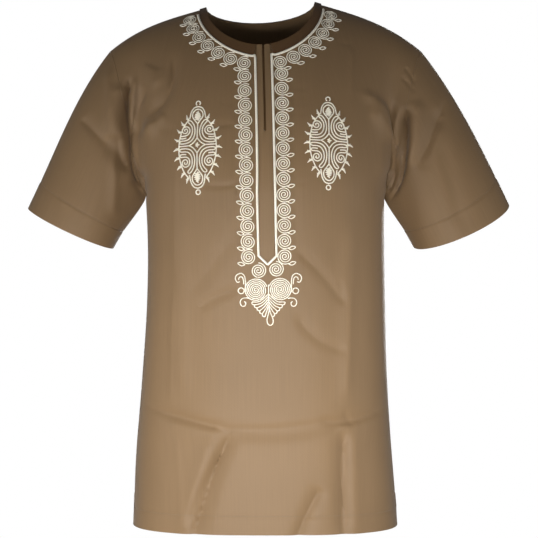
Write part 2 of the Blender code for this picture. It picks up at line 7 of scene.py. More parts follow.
from functools import lru_cache
from math import cos, pi, radians, sin

import bmesh
import bpy
import numpy as np
from bpy.props import FloatProperty, FloatVectorProperty, PointerProperty
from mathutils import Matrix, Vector
from mathutils.bvhtree import BVHTree


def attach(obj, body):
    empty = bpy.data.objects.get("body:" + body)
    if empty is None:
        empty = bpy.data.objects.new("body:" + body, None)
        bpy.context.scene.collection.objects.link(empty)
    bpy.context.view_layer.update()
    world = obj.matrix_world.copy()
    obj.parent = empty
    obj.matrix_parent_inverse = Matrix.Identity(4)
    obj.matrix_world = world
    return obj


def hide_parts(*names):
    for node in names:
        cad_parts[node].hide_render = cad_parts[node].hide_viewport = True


bl_info = {
    "name": "Embroidered Shirt",
    "version": (1, 0, 0),
    "blender": (4, 5, 0),
    "location": "3D View > Sidebar > Shirt",
    "description": "Builds the cloth, bindings and embroidery of a pullover shirt",
    "category": "Add Mesh",
}

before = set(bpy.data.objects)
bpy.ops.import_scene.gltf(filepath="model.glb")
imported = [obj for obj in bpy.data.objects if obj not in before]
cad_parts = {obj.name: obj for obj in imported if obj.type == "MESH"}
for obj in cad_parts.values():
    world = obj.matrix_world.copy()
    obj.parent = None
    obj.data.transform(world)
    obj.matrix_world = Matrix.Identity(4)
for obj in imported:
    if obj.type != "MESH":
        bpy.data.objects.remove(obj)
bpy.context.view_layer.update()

# Cloth
WALL = 0.0012
HEM_EXTRA = 0.0005
HEM_PULL = 0.0004
SEAM_GAP = 0.0003
LAP_GAP = 0.0005
BAND_GAP = 0.0008
BAND_WALL = 0.0010
CORD_RADIUS = 0.0015

# Body
UNDERARM_Z = -0.275
HEM_Z = -0.747
HEM_DEPTH = 0.022
VENT_TOP_Z = -0.596
VENT_SPREAD = 0.005
VENT_SKEW = 0.25
VENT_START = 0.15
VENT_REACH = 24
CORNER_RADIUS = 0.024
CORNER_FADE = 6
HALF_GIRTH = 0.26
BODY_POWER = 2.7

# Neck and shoulders
NECK_CENTRE_X = -0.008
NECK_HALF_WIDTH = 0.078
NECK_FRONT_DROP = 0.067
NECK_BACK_DROP = 0.020
NECK_LEAN = 0.0020
NECK_SEARCH = 41
NECK_TILT = 0.05
NECK_POWER = 2.1
NECK_SHARE = 0.32
SHOULDER_SLOPE_IN = -0.30
SHOULDER_SLOPE_OUT = -0.85

# Trim
BAND_MIDDLE = 0.0185
BAND_SHOULDER = 0.0098
BAND_START = 1.08
PLACKET_SHARE = 0.0405
PLACKET_TOP_SHARE = 0.0263
PLACKET_SQUARE_Z = -0.363
PLACKET_TIP_Z = -0.371
SLIT_END_Z = -0.192
SLIT_HALF_GAP = 0.0030
CORD_BACK_SHARE = 0.10
CORD_START = 1.25
CORD_TOP_LEVEL = 0.97
TIP_SHARE = 0.05
TIP_ROWS = (0, 0.25, 0.5, 0.75)
UNDERLAP_REACH = (-0.5, 1.0)
EVEN_OUT = 0.003
WALK_STEP = 0.003

# Folds: the depth over which the front's give way to the back's, and how they fade at their ends
SIDE_BLEND = 0.024
FOLD_STEPS = 16
FOLD_FADE = 5.0
FOLD_END = 0.1

# Steps along the trims, the fineness of searches, how finely places are told apart, to a metre, and
# where the shoulder seam is looked at beside the neck
BAND_STEPS = 16
CORD_STEPS = 18
GIRTH_SEARCH = 241
LEVEL_SEARCH = 201
NORMAL_STEP = 0.001
SAME_PLACE = 1e5
BESIDE_NECK = 1.1

# Body sections, from the underarm down: z, half_width, centre_x, lean_x, front, back
SECTIONS = (
    (-0.275, 0.1712, -0.0015, 0.0018, 0.128, 0.112),
    (-0.345, 0.1697, 0.0000, 0.0018, 0.125, 0.104),
    (-0.430, 0.1710, 0.0000, 0.0050, 0.119, 0.098),
    (-0.540, 0.1760, -0.0022, 0.0080, 0.117, 0.102),
    (-0.640, 0.1830, -0.0030, 0.0080, 0.120, 0.110),
    (-0.760, 0.1900, -0.0010, 0.0080, 0.123, 0.114),
)

# How the cloth leaves the underarm line and comes to the top edge, from the middle to the armhole:
# share, out_start, depth_start, up_start, out_end, depth_end, up_end
FRONT_RISE = (
    (0.00, 0.00, 0.00, 0.24, 0.00, -0.20, 0.050),
    (0.32, 0.00, 0.01, 0.24, 0.00, -0.18, 0.050),
    (0.70, 0.00, 0.02, 0.25, 0.01, -0.17, 0.045),
    (0.90, 0.01, 0.07, 0.22, 0.03, -0.17, 0.040),
    (1.00, 0.05, 0.20, 0.12, 0.05, -0.16, 0.040),
)
BACK_RISE = (
    (0.00, 0.00, 0.02, 0.27, 0.00, -0.17, 0.045),
    (0.32, 0.00, 0.02, 0.26, 0.00, -0.17, 0.045),
    (0.70, 0.00, 0.02, 0.26, 0.01, -0.17, 0.045),
    (0.90, 0.01, 0.06, 0.22, 0.03, -0.16, 0.040),
    (1.00, 0.05, 0.18, 0.12, 0.05, -0.15, 0.040),
)

# Shoulder points and cuffs, the wearer's right first:
# side, shoulder_x, outer_x, outer_z, inner_x, inner_z, front_drop
SLEEVES = (
    (-1, -0.226, -0.3425, -0.293, -0.2219, -0.351, 0.006),
    (1, 0.225, 0.3494, -0.287, 0.2146, -0.3495, 0.016),
)
SHOULDER_Z = -0.067
CUFF_HALF_DEPTH = 0.053
CUFF_CENTRE_Y = -0.004
SLEEVE_HEM = 0.022
SLEEVE_OUT = (0.62, -0.78)

# Folds: a trough has a height below zero, and a power near 1 is a pressed edge where 2 is a soft roll.
# x0, z0, x1, z1, x2, z2, half_width, height, power
FRONT_FOLDS = (
    # Right armhole and sleeve
    (-0.197, -0.130, -0.195, -0.186, -0.178, -0.262, 0.011, -0.0070, 2.0),
    (-0.151, -0.172, -0.171, -0.200, -0.172, -0.250, 0.011, 0.0050, 2.0),
    (-0.132, -0.072, -0.134, -0.128, -0.162, -0.162, 0.010, -0.0026, 2.0),
    (-0.209, -0.115, -0.214, -0.160, -0.206, -0.200, 0.011, 0.0050, 2.0),
    (-0.228, -0.190, -0.217, -0.215, -0.192, -0.240, 0.011, -0.0042, 2.0),
    (-0.263, -0.166, -0.246, -0.182, -0.227, -0.204, 0.010, -0.0018, 2.0),
    (-0.133, -0.084, -0.136, -0.130, -0.168, -0.166, 0.004, -0.0028, 1.4),
    (-0.140, -0.165, -0.154, -0.178, -0.168, -0.190, 0.006, 0.0027, 1.8),
    (-0.182, -0.105, -0.191, -0.148, -0.187, -0.192, 0.005, 0.0038, 1.8),
    (-0.170, -0.127, -0.184, -0.158, -0.187, -0.206, 0.005, -0.0045, 1.5),
    (-0.193, -0.108, -0.197, -0.158, -0.188, -0.206, 0.005, -0.0095, 1.5),
    (-0.190, -0.186, -0.187, -0.232, -0.175, -0.266, 0.004, -0.0085, 1.4),
    (-0.180, -0.186, -0.180, -0.216, -0.173, -0.250, 0.006, 0.0036, 1.8),
    (-0.160, -0.094, -0.160, -0.105, -0.148, -0.124, 0.012, 0.0026, 2.0),
    (-0.204, -0.138, -0.200, -0.172, -0.190, -0.205, 0.004, 0.0021, 1.8),
    (-0.211, -0.184, -0.206, -0.222, -0.192, -0.240, 0.006, -0.0029, 1.6),
    (-0.190, -0.252, -0.181, -0.267, -0.172, -0.280, 0.006, -0.0027, 1.8),
    (-0.267, -0.165, -0.248, -0.183, -0.232, -0.199, 0.004, -0.0020, 1.4),
    (-0.225, -0.088, -0.223, -0.150, -0.222, -0.208, 0.007, 0.0024, 1.8),
    (-0.215, -0.210, -0.216, -0.258, -0.218, -0.310, 0.007, 0.0024, 1.8),
    # Left armhole and sleeve
    (0.144, -0.150, 0.168, -0.185, 0.160, -0.262, 0.011, 0.0055, 2.0),
    (0.197, -0.150, 0.192, -0.205, 0.176, -0.268, 0.011, -0.0080, 2.0),
    (0.211, -0.140, 0.213, -0.185, 0.206, -0.240, 0.011, 0.0050, 2.0),
    (0.248, -0.150, 0.234, -0.200, 0.214, -0.240, 0.011, -0.0039, 2.0),
    (0.128, -0.134, 0.168, -0.160, 0.172, -0.212, 0.007, 0.0034, 1.8),
    (0.173, -0.206, 0.170, -0.240, 0.167, -0.282, 0.004, 0.0034, 1.6),
    (0.190, -0.152, 0.184, -0.184, 0.189, -0.212, 0.004, 0.0038, 1.8),
    (0.178, -0.136, 0.179, -0.184, 0.187, -0.212, 0.005, -0.0055, 1.5),
    (0.200, -0.150, 0.199, -0.212, 0.180, -0.284, 0.004, -0.0100, 1.4),
    (0.208, -0.158, 0.206, -0.198, 0.202, -0.236, 0.005, 0.0030, 1.8),
    (0.177, -0.214, 0.179, -0.240, 0.175, -0.276, 0.005, -0.0065, 1.5),
    (0.150, -0.160, 0.162, -0.176, 0.175, -0.197, 0.007, 0.0029, 1.8),
    (0.259, -0.138, 0.240, -0.186, 0.214, -0.237, 0.005, -0.0029, 1.5),
    (0.252, -0.172, 0.238, -0.208, 0.222, -0.234, 0.006, 0.0021, 1.8),
    (0.247, -0.198, 0.264, -0.262, 0.279, -0.330, 0.012, -0.0023, 2.0),
    (0.192, -0.108, 0.202, -0.116, 0.212, -0.130, 0.003, -0.0022, 1.4),
    (0.198, -0.094, 0.206, -0.104, 0.213, -0.118, 0.003, -0.0018, 1.4),
    # Long pressed edges down the body
    (-0.116, -0.290, -0.118, -0.430, -0.116, -0.570, 0.012, 0.0026, 2.0),
    (0.118, -0.290, 0.113, -0.440, 0.114, -0.580, 0.012, 0.0026, 2.0),
    (-0.121, -0.090, -0.124, -0.250, -0.127, -0.400, 0.004, 0.0012, 1.3),
    (-0.127, -0.400, -0.131, -0.500, -0.131, -0.575, 0.004, 0.0012, 1.3),
    (-0.124, -0.610, -0.119, -0.680, -0.116, -0.745, 0.004, 0.0011, 1.3),
    (0.121, -0.065, 0.120, -0.105, 0.119, -0.142, 0.004, 0.0011, 1.3),
    (0.116, -0.400, 0.114, -0.480, 0.111, -0.563, 0.004, 0.0012, 1.3),
    (0.103, -0.062, 0.112, -0.062, 0.121, -0.065, 0.003, -0.0008, 1.3),
    # Pressed edges across the body
    (-0.172, -0.566, -0.005, -0.607, 0.170, -0.568, 0.012, -0.0024, 2.0),
    (-0.180, -0.572, -0.115, -0.588, -0.056, -0.601, 0.004, -0.0026, 1.2),
    (-0.070, -0.599, -0.005, -0.602, 0.090, -0.591, 0.003, -0.0009, 1.2),
    (0.074, -0.588, 0.115, -0.592, 0.175, -0.576, 0.004, -0.0028, 1.2),
    (-0.140, -0.593, -0.100, -0.601, -0.055, -0.609, 0.006, 0.0014, 2.0),
    (0.108, -0.578, 0.115, -0.590, 0.124, -0.600, 0.003, -0.0020, 1.4),
    (0.098, -0.598, 0.115, -0.600, 0.128, -0.594, 0.004, 0.0016, 1.6),
    (-0.106, -0.182, -0.072, -0.184, -0.040, -0.180, 0.003, -0.0016, 1.3),
    (-0.092, -0.264, -0.064, -0.268, -0.038, -0.264, 0.003, -0.0016, 1.3),
    (-0.160, -0.183, -0.140, -0.186, -0.118, -0.188, 0.003, -0.0008, 1.3),
    # Ripples where the stitching draws the cloth in
    (0.034, -0.131, 0.047, -0.130, 0.061, -0.133, 0.003, -0.0009, 1.6),
    (0.034, -0.142, 0.048, -0.143, 0.062, -0.141, 0.003, -0.0011, 1.6),
    (0.035, -0.151, 0.048, -0.152, 0.064, -0.150, 0.003, -0.0009, 1.6),
    (0.036, -0.164, 0.047, -0.166, 0.058, -0.165, 0.003, -0.0008, 1.6),
    (0.037, -0.262, 0.046, -0.264, 0.058, -0.262, 0.003, -0.0008, 1.6),
    (-0.042, -0.150, -0.052, -0.152, -0.064, -0.150, 0.003, -0.0008, 1.6),
    (-0.042, -0.110, -0.042, -0.240, -0.038, -0.370, 0.006, -0.0009, 2.0),
    (0.038, -0.110, 0.039, -0.240, 0.041, -0.370, 0.006, -0.0009, 2.0),
    # Slanting drags over the stomach
    (0.036, -0.350, 0.080, -0.392, 0.108, -0.432, 0.006, -0.0028, 1.4),
    (0.040, -0.440, 0.072, -0.478, 0.116, -0.494, 0.007, -0.0022, 1.6),
    (0.100, -0.396, 0.105, -0.412, 0.107, -0.434, 0.003, -0.0014, 1.4),
    (-0.038, -0.410, -0.068, -0.420, -0.094, -0.438, 0.007, -0.0020, 1.6),
    (-0.041, -0.335, -0.070, -0.372, -0.107, -0.421, 0.010, -0.0013, 1.8),
    # Folds that open towards the hem
    (-0.044, -0.602, -0.074, -0.671, -0.100, -0.760, 0.012, -0.0040, 2.0),
    (-0.070, -0.610, -0.095, -0.680, -0.118, -0.760, 0.013, 0.0022, 2.0),
    (0.106, -0.600, 0.106, -0.672, 0.108, -0.765, 0.011, -0.0042, 2.0),
    (0.122, -0.600, 0.122, -0.672, 0.125, -0.765, 0.010, 0.0018, 2.0),
    (0.078, -0.680, 0.060, -0.712, 0.040, -0.765, 0.012, -0.0026, 2.0),
    (-0.046, -0.606, -0.076, -0.670, -0.104, -0.765, 0.004, -0.0042, 1.2),
    (-0.058, -0.630, -0.086, -0.680, -0.110, -0.740, 0.003, -0.0022, 1.2),
    (0.076, -0.684, 0.058, -0.715, 0.036, -0.765, 0.004, -0.0032, 1.2),
    (0.108, -0.606, 0.107, -0.675, 0.108, -0.765, 0.004, -0.0030, 1.3),
)
BACK_FOLDS = (
    (-0.195, -0.135, -0.193, -0.190, -0.177, -0.262, 0.011, -0.0060, 2.0),
    (-0.148, -0.165, -0.168, -0.200, -0.170, -0.255, 0.012, 0.0045, 2.0),
    (-0.212, -0.120, -0.216, -0.165, -0.208, -0.215, 0.011, 0.0045, 2.0),
    (0.195, -0.140, 0.193, -0.195, 0.177, -0.265, 0.011, -0.0065, 2.0),
    (0.146, -0.160, 0.166, -0.195, 0.167, -0.258, 0.012, 0.0050, 2.0),
    (0.213, -0.125, 0.216, -0.175, 0.207, -0.230, 0.011, 0.0045, 2.0),
    (-0.070, -0.330, -0.088, -0.470, -0.094, -0.765, 0.015, 0.0035, 2.0),
    (-0.045, -0.420, -0.058, -0.560, -0.066, -0.765, 0.014, -0.0045, 2.0),
    (0.062, -0.360, 0.078, -0.520, 0.088, -0.765, 0.015, -0.0050, 2.0),
    (0.034, -0.450, 0.044, -0.590, 0.050, -0.765, 0.014, 0.0039, 2.0),
    (-0.168, -0.566, 0.000, -0.604, 0.168, -0.568, 0.012, -0.0033, 2.0),
    (-0.165, -0.120, -0.180, -0.160, -0.184, -0.215, 0.005, -0.0037, 1.5),
    (-0.140, -0.150, -0.155, -0.178, -0.168, -0.196, 0.006, 0.0029, 1.8),
    (-0.262, -0.165, -0.244, -0.188, -0.224, -0.206, 0.006, -0.0029, 1.5),
    (-0.205, -0.190, -0.200, -0.222, -0.190, -0.242, 0.006, -0.0027, 1.6),
    (0.162, -0.125, 0.179, -0.165, 0.184, -0.222, 0.005, -0.0040, 1.5),
    (0.138, -0.152, 0.153, -0.176, 0.170, -0.198, 0.007, 0.0029, 1.8),
    (0.256, -0.150, 0.240, -0.190, 0.218, -0.226, 0.006, -0.0032, 1.5),
    (0.205, -0.185, 0.202, -0.220, 0.190, -0.246, 0.006, -0.0027, 1.6),
    (-0.118, -0.110, -0.121, -0.300, -0.122, -0.560, 0.004, 0.0012, 1.3),
    (0.116, -0.130, 0.118, -0.320, 0.117, -0.560, 0.004, 0.0012, 1.3),
    (-0.002, -0.060, -0.001, -0.250, 0.001, -0.540, 0.004, -0.0009, 1.3),
    (-0.166, -0.572, -0.001, -0.600, 0.166, -0.574, 0.003, -0.0013, 1.2),
    (-0.150, -0.180, -0.060, -0.187, 0.020, -0.186, 0.003, -0.0008, 1.3),
    (-0.020, -0.268, 0.060, -0.266, 0.130, -0.262, 0.003, -0.0008, 1.3),
    (-0.060, -0.310, -0.082, -0.352, -0.112, -0.388, 0.008, -0.0019, 1.6),
    (0.048, -0.380, 0.074, -0.420, 0.098, -0.470, 0.008, -0.0017, 1.6),
    (-0.056, -0.600, -0.063, -0.680, -0.068, -0.757, 0.004, -0.0016, 1.4),
    (0.082, -0.590, 0.087, -0.670, 0.090, -0.757, 0.004, -0.0017, 1.4),
)

# How far from its line a fold is followed, in half widths. A pressed edge fades more slowly, so further.
FOLD_REACH = 3.0
PRESSED_POWER = 1.5
PRESSED_SPREAD = 0.9

# Grid of the cloth
PLACKET_COLUMNS = 6
NECK_COLUMNS = 24
SIDE_COLUMNS = 62
SIDE_CROWDING = 1.35
HEM_ROWS = 7
LOWER_ROWS = 120
UPPER_ROWS = 90
SLEEVE_ROWS = 70
SLEEVE_HEM_ROWS = 6
SHARP_ANGLE = 50
BAND_ROWS = 6
UNDERLAP_ROWS = 7
UNDERLAP_COLUMNS = 9

# Cord: how far its middle lies beside a strip's edge, and how much further below the placket's point
CORD_CLEAR = CORD_RADIUS + 3 * SEAM_GAP
TIP_CLEAR = 1.8

# Embroidery thread: the share of it that sinks into the cloth, the step between its points, the height
# that it is dropped on the cloth from, and the share that it narrows by at every second stitch
THREAD_SUNK = 0.45
THREAD_STEP = 0.0012
THREAD_DROP = 0.04
STITCH_PULL = 0.20

# Points to a turn of a spiral, to a ring and to each stretch of a smooth line
SPIRAL_STEPS = 40
RING_STEPS = 24
LINE_STEPS = 8

# Discs in a chain from the shoulders down both sides of the placket, and the loops between them.
# A chain: side, top_x, top_z, foot_x, foot_z, discs in the column, discs at the neck, first place there
DISC_RADIUS = 0.0107
DISC_TURNS = 3.5
DISC_PITCH = 0.0209
DISC_EYE = 0.08
DISC_END = 60
NECK_DISC_GAP = 0.0040
NECK_CHAIN_END = 0.98
NECK_CHAIN_STEPS = 40
CHAINS = (
    (-1, -0.0290, -0.1130, -0.0235, -0.3650, 13, 7, -0.165),
    (1, 0.0222, -0.1095, 0.0262, -0.3640, 13, 7, 0.135),
)
FOOT_DISCS = ((-0.0102, -0.3835), (0.0140, -0.3815))
LOOP = ((0.005, 0.0), (0.010, -0.00146), (0.015, 0.0022), (0.010, 0.00322), (0.005, 0.0))

# Medallions: quarter of the pattern, in millimetres from the middle of the star
MEDALLIONS = (("right_medallion", -0.0945, -0.2105), ("left_medallion", 0.0870, -0.2045))
LOWER_STRETCH = 1.07
STAR = ((0.0, 10.4), (3.1, 6.2), (6.4, 2.9), (11.4, 0.0))
STAR_HEART = 3.4
SCROLL = (17.2, 22.0)
SCROLL_RADIUS = 7.4
SCROLL_TURNS = 2.15
SCROLL_EYE = 0.1
SCROLL_TAIL = (
    (17.2, 14.6), (20.5, 14.4), (23.6, 14.3), (25.3, 12.7), (23.8, 11.0), (20.0, 10.8), (16.0, 11.3),
)
LABYRINTH = (
    (12.0, 36.2), (13.8, 34.2), (10.6, 30.6), (7.7, 26.0), (7.0, 20.5), (8.2, 14.6), (11.8, 9.6),
    (17.0, 7.6), (23.5, 7.4), (26.0, 5.4), (23.5, 3.6), (16.0, 3.7), (9.6, 5.9), (5.4, 10.6),
    (3.5, 17.0), (3.7, 24.0), (5.6, 30.2), (9.0, 35.0),
)
DROP_LOOP = ((0.0, 31.0), (3.6, 35.6), (7.2, 41.0), (6.8, 47.0), (3.2, 51.2), (0.0, 52.2))
DROP_ARCH = ((11.4, 38.2), (10.6, 43.0), (9.2, 48.8), (5.2, 54.4), (0.0, 56.0))
DROP_FILL = (35.4, 49.0, 4.6)
CREST_RING = (61.0, 3.1)
CREST_START = -50
CREST_SWEEP = 290
OUTLINE = (27.6, 47.0, -4.0)
OUTLINE_INSET = 0.6
AXIS_INSET = 0.5
THORNS = 9
THORN_SPAN = 62.5
THORN_LENGTH = 7.6
THORN_CURL = 2.0
THORN_WIDTHS = (1.9, 1.5, 1.0, 0.35)
BARB_LENGTH = 3.6
BARB_FOOT = 1.5
BARB_LEAN = 0.7

# Palmette under the placket, in millimetres from the join of its two spirals.
# A feather: stem_z, bend_x, bend_z, tip_x, tip_z
PALMETTE = (0.0036, -0.4112)
PALMETTE_SPIRALS = ((-17.3, 1.0), (16.4, 1.8))
PALMETTE_RADIUS = 15.8
PALMETTE_TURNS = 6.3
PALMETTE_EYE = 0.04
PALMETTE_END = 18
STEM = ((0.0, 8.5), (0.1, 0.0), (0.4, -14.0), (1.0, -27.5))
FEATHERS = 6
FIRST_FEATHER = (-4.5, 11.8, -14.4, 22.8, -15.4)
LAST_FEATHER = (-22.0, 2.0, -27.5, 4.9, -35.8)
SCALLOP = 1.6
PALMETTE_DROP = (
    (1.3, -27.5), (4.3, -34.0), (6.5, -40.0), (5.8, -45.4), (2.6, -47.6), (-0.9, -45.4),
    (-2.0, -40.0), (-0.6, -34.0),
)
CROOK = (
    (31.4, -2.0), (31.6, 6.0), (31.6, 14.0), (33.0, 20.6), (37.6, 24.0), (43.4, 21.8), (45.4, 16.8),
    (42.8, 11.8), (39.2, 12.6),
)
CROOK_LINING = ((34.0, 9.0), (34.4, 15.0), (36.2, 19.0), (39.8, 18.6), (41.0, 15.2))
SIDE_RING = (37.4, 0.0, 4.0)
LOWER_HOOK = (
    (26.5, -10.4), (31.4, -9.8), (36.4, -11.0), (38.8, -15.6), (36.8, -20.8), (32.4, -20.8), (31.0, -16.8),
    (33.2, -14.6),
)

# Sewing: the share of its pitch that a machine stitch fills, the steps that its line is followed by, how
# the stitch narrows at its ends, and the column of the cloth that the vents' stitches run along
STITCH_SHARE = 0.72
STITCH_STEPS = 4
STITCH_WIDTHS = (0.6, 1.0, 0.6)
VENT_COLUMN = 2

# Surface detail: slubs to a metre across and along the cloth, and the length of a thread's ridges. A slub
# is drawn 1.7 mm wide and a ridge 0.8 mm long, coarser than real, so that they show.
SLUB_ACROSS = 600.0
SLUB_ALONG = 12.0
THREAD_GRAIN = 0.0008

# Stage. A lamp: name, place, size, power, spread, aim
FLOOR_Z = -1.45
FLOOR_RADIUS = 2.5
FLOOR_SEGMENTS = 96
LAMPS = (
    ("front_softbox", (-0.12, -1.70, -0.74), (0.6, 0.4), 2.5, 45.0, (0.0, 0.0, -0.62)),
    ("left_softbox", (-1.80, -1.25, -0.46), (0.5, 0.9), 15.5, 180.0, (0.0, 0.0, -0.42)),
    ("right_softbox", (1.90, -1.10, -0.46), (0.8, 0.9), 12.0, 180.0, (0.0, 0.0, -0.42)),
    ("back_softbox", (0.6, 3.0, 0.2), (1.6, 1.8), 100.0, 180.0, (0.0, 0.0, -0.38)),
)
WHITE = (1.0, 1.0, 1.0, 1.0)
FILL = 0.055
SENSOR = 36.0
FRAME_WIDTH = 0.78
CAMERA_AWAY = 2.3
CAMERA_X = 0.00435
CAMERA_Z = -0.38135


def smooth_rows(table, at):
    """Each column of a table at the places given, on a smooth curve through its rows."""
    rows = np.array(table, float)
    order = np.argsort(rows[:, 0])
    key, values = rows[order, 0], rows[order, 1:]
    slope = np.gradient(values, key, axis=0)
    at = np.clip(np.asarray(at, float), key[0], key[-1])
    low = np.clip(np.searchsorted(key, at, side="right") - 1, 0, len(key) - 2)
    step = (key[low + 1] - key[low])[..., None]
    t = (at - key[low])[..., None] / step
    return (
        (2 * t**3 - 3 * t**2 + 1) * values[low]
        + (t**3 - 2 * t**2 + t) * step * slope[low]
        + (3 * t**2 - 2 * t**3) * values[low + 1]
        + (t**3 - t**2) * step * slope[low + 1]
    )


def hermite(start, leave, end, arrive, t):
    """Points from start to end that leave and arrive in the directions given."""
    return (
        (2 * t**3 - 3 * t**2 + 1) * start
        + (t**3 - 2 * t**2 + t) * leave
        + (3 * t**2 - 2 * t**3) * end
        + (t**3 - t**2) * arrive
    )


def quarter_turn(share, half_width, depth, power):
    """Places round a quarter of a superellipse, from its middle to its side, by share of its length."""
    turn = np.linspace(0.0, pi / 2, GIRTH_SEARCH)
    x = half_width * np.abs(np.sin(turn)) ** (2 / power)
    y = depth * np.abs(np.cos(turn)) ** (2 / power)
    run = np.concatenate([[0.0], np.cumsum(np.hypot(np.diff(x), np.diff(y)))])
    return np.interp(share * run[-1], run, x), np.interp(share * run[-1], run, y)


def low_point(face, columns, z):
    """A row of body points at one height. face is -1 on the front and 1 on the back."""
    half_width, centre_x, lean_x, front, back = smooth_rows(SECTIONS, z)
    share, side = np.abs(columns), np.sign(columns)
    x, y = quarter_turn(share, half_width, front if face < 0 else back, BODY_POWER)
    lean = lean_x * (1 - share**2) ** 2 if face < 0 else 0.0
    vent = max(0.0, (VENT_TOP_Z - z) / (VENT_TOP_Z - HEM_Z))
    opened = sin(pi * min(1.0, VENT_START + (1 - VENT_START) * vent)) * (vent > 0)
    spread = VENT_SPREAD * opened * share**VENT_REACH
    edge = x + VENT_SKEW * face * spread
    return np.stack([centre_x + side * edge + lean, face * (y + spread), np.full_like(x, z)], 1)


def top_point(columns):
    """The line over the shoulders: right shoulder seam, an unbroken line over the neck, left seam."""
    share, side = np.abs(columns), np.sign(columns)
    turn = np.clip(columns / NECK_SHARE, -1, 1) * pi / 2
    x = NECK_HALF_WIDTH * np.sin(turn)
    width = 2 * NECK_HALF_WIDTH
    rise = -SHOULDER_SLOPE_IN * width
    over = hermite(-NECK_TILT * width / 2, rise, NECK_TILT * width / 2, -rise, x / width + 0.5)
    end_x = np.where(side < 0, SLEEVES[0][1], SLEEVES[1][1])
    run = np.abs(end_x - NECK_CENTRE_X) - NECK_HALF_WIDTH
    along = np.clip((share - NECK_SHARE) / (1 - NECK_SHARE), 0, 1)
    start_z = side * NECK_TILT * NECK_HALF_WIDTH
    seam = hermite(start_z, SHOULDER_SLOPE_IN * run, SHOULDER_Z, SHOULDER_SLOPE_OUT * run, along)
    x = NECK_CENTRE_X + x + side * run * along + NECK_LEAN * np.cos(turn) ** 2
    return np.stack([x, np.zeros_like(x), np.where(share > NECK_SHARE, seam, over)], 1)


def rising_point(face, columns, rise):
    """Points on the way from the underarm line at 0 to the line over the shoulders at 1."""
    start, end = low_point(face, columns, UNDERARM_Z), top_point(columns)
    drift = smooth_rows(FRONT_RISE if face < 0 else BACK_RISE, np.abs(columns))
    side = np.sign(columns)
    leave = np.stack([side * drift[:, 0], face * drift[:, 1], drift[:, 2]], 1)
    arrive = np.stack([side * drift[:, 3], face * drift[:, 4], drift[:, 5]], 1)
    return hermite(start, leave, end, arrive, rise)


@lru_cache(maxsize=None)
def neck_rise_of(face, columns):
    """How far up its way each column meets the neck edge, or 1 outside the neck."""
    columns = np.array(columns)
    turn = np.clip(columns / NECK_SHARE, -1, 1) * pi / 2
    level = np.abs(np.cos(turn))
    drop = NECK_FRONT_DROP * level ** (2 / NECK_POWER) if face < 0 else NECK_BACK_DROP * level
    edge = NECK_TILT * NECK_HALF_WIDTH * np.sin(turn) - drop
    rises = np.linspace(0, 1, NECK_SEARCH)
    heights = np.stack([rising_point(face, columns, rise)[:, 2] for rise in rises])
    found = [np.interp(z, heights[:, i], rises) for i, z in enumerate(edge)]
    return np.where(np.abs(columns) < NECK_SHARE, found, 1.0)


def neck_rise(face, columns):
    """How far up its way each column of a row meets the neck edge."""
    return neck_rise_of(face, tuple(columns))


def high_point(face, columns, level):
    """A row of body points between the underarm line at 0 and the top edge at 1."""
    return rising_point(face, columns, (level * neck_rise(face, columns))[:, None])


def neck_point(face, columns):
    """Points of the neck edge. The columns run from -1 at the right shoulder to 1 at the left."""
    return high_point(face, columns * NECK_SHARE, 1.0)


def hem_rise(columns):
    """How far the rounded corner lifts the hem at each column."""
    from_edge = (1 - np.abs(columns)) * HALF_GIRTH
    inside = np.clip(CORNER_RADIUS - from_edge, 0, CORNER_RADIUS)
    return CORNER_RADIUS - np.sqrt(CORNER_RADIUS**2 - inside**2)


def low_level(z):
    """The level of a height below the underarm."""
    return (z - UNDERARM_Z) / (UNDERARM_Z - HEM_Z)


def body_row(face, columns, level):
    """A row of a panel. Levels run from -1 at the hem, through 0 at the underarm, to 1 at the top."""
    if level >= 0:
        return high_point(face, columns, level)
    drop = -level
    points = low_point(face, columns, UNDERARM_Z + (HEM_Z - UNDERARM_Z) * drop)
    points[:, 2] += hem_rise(columns) * drop**CORNER_FADE
    return points


def body_grid(face, columns, levels):
    """The middle points of a panel, a row for each level."""
    return np.stack([body_row(face, columns, level) for level in levels])


def cuff_frame(sleeve):
    """A cuff's centre, its half width as a vector, the way down the sleeve and how far its front drops."""
    side, _, outer_x, outer_z, inner_x, inner_z, drop = sleeve
    outer, inner = np.array([outer_x, 0.0, outer_z]), np.array([inner_x, 0.0, inner_z])
    across = outer - inner
    down = np.array([side * -across[2], 0.0, side * across[0]])
    down = down / np.linalg.norm(down)
    down = down if down[2] < 0 else -down
    return (outer + inner) / 2 + [0, CUFF_CENTRE_Y, 0], across / 2, down, drop


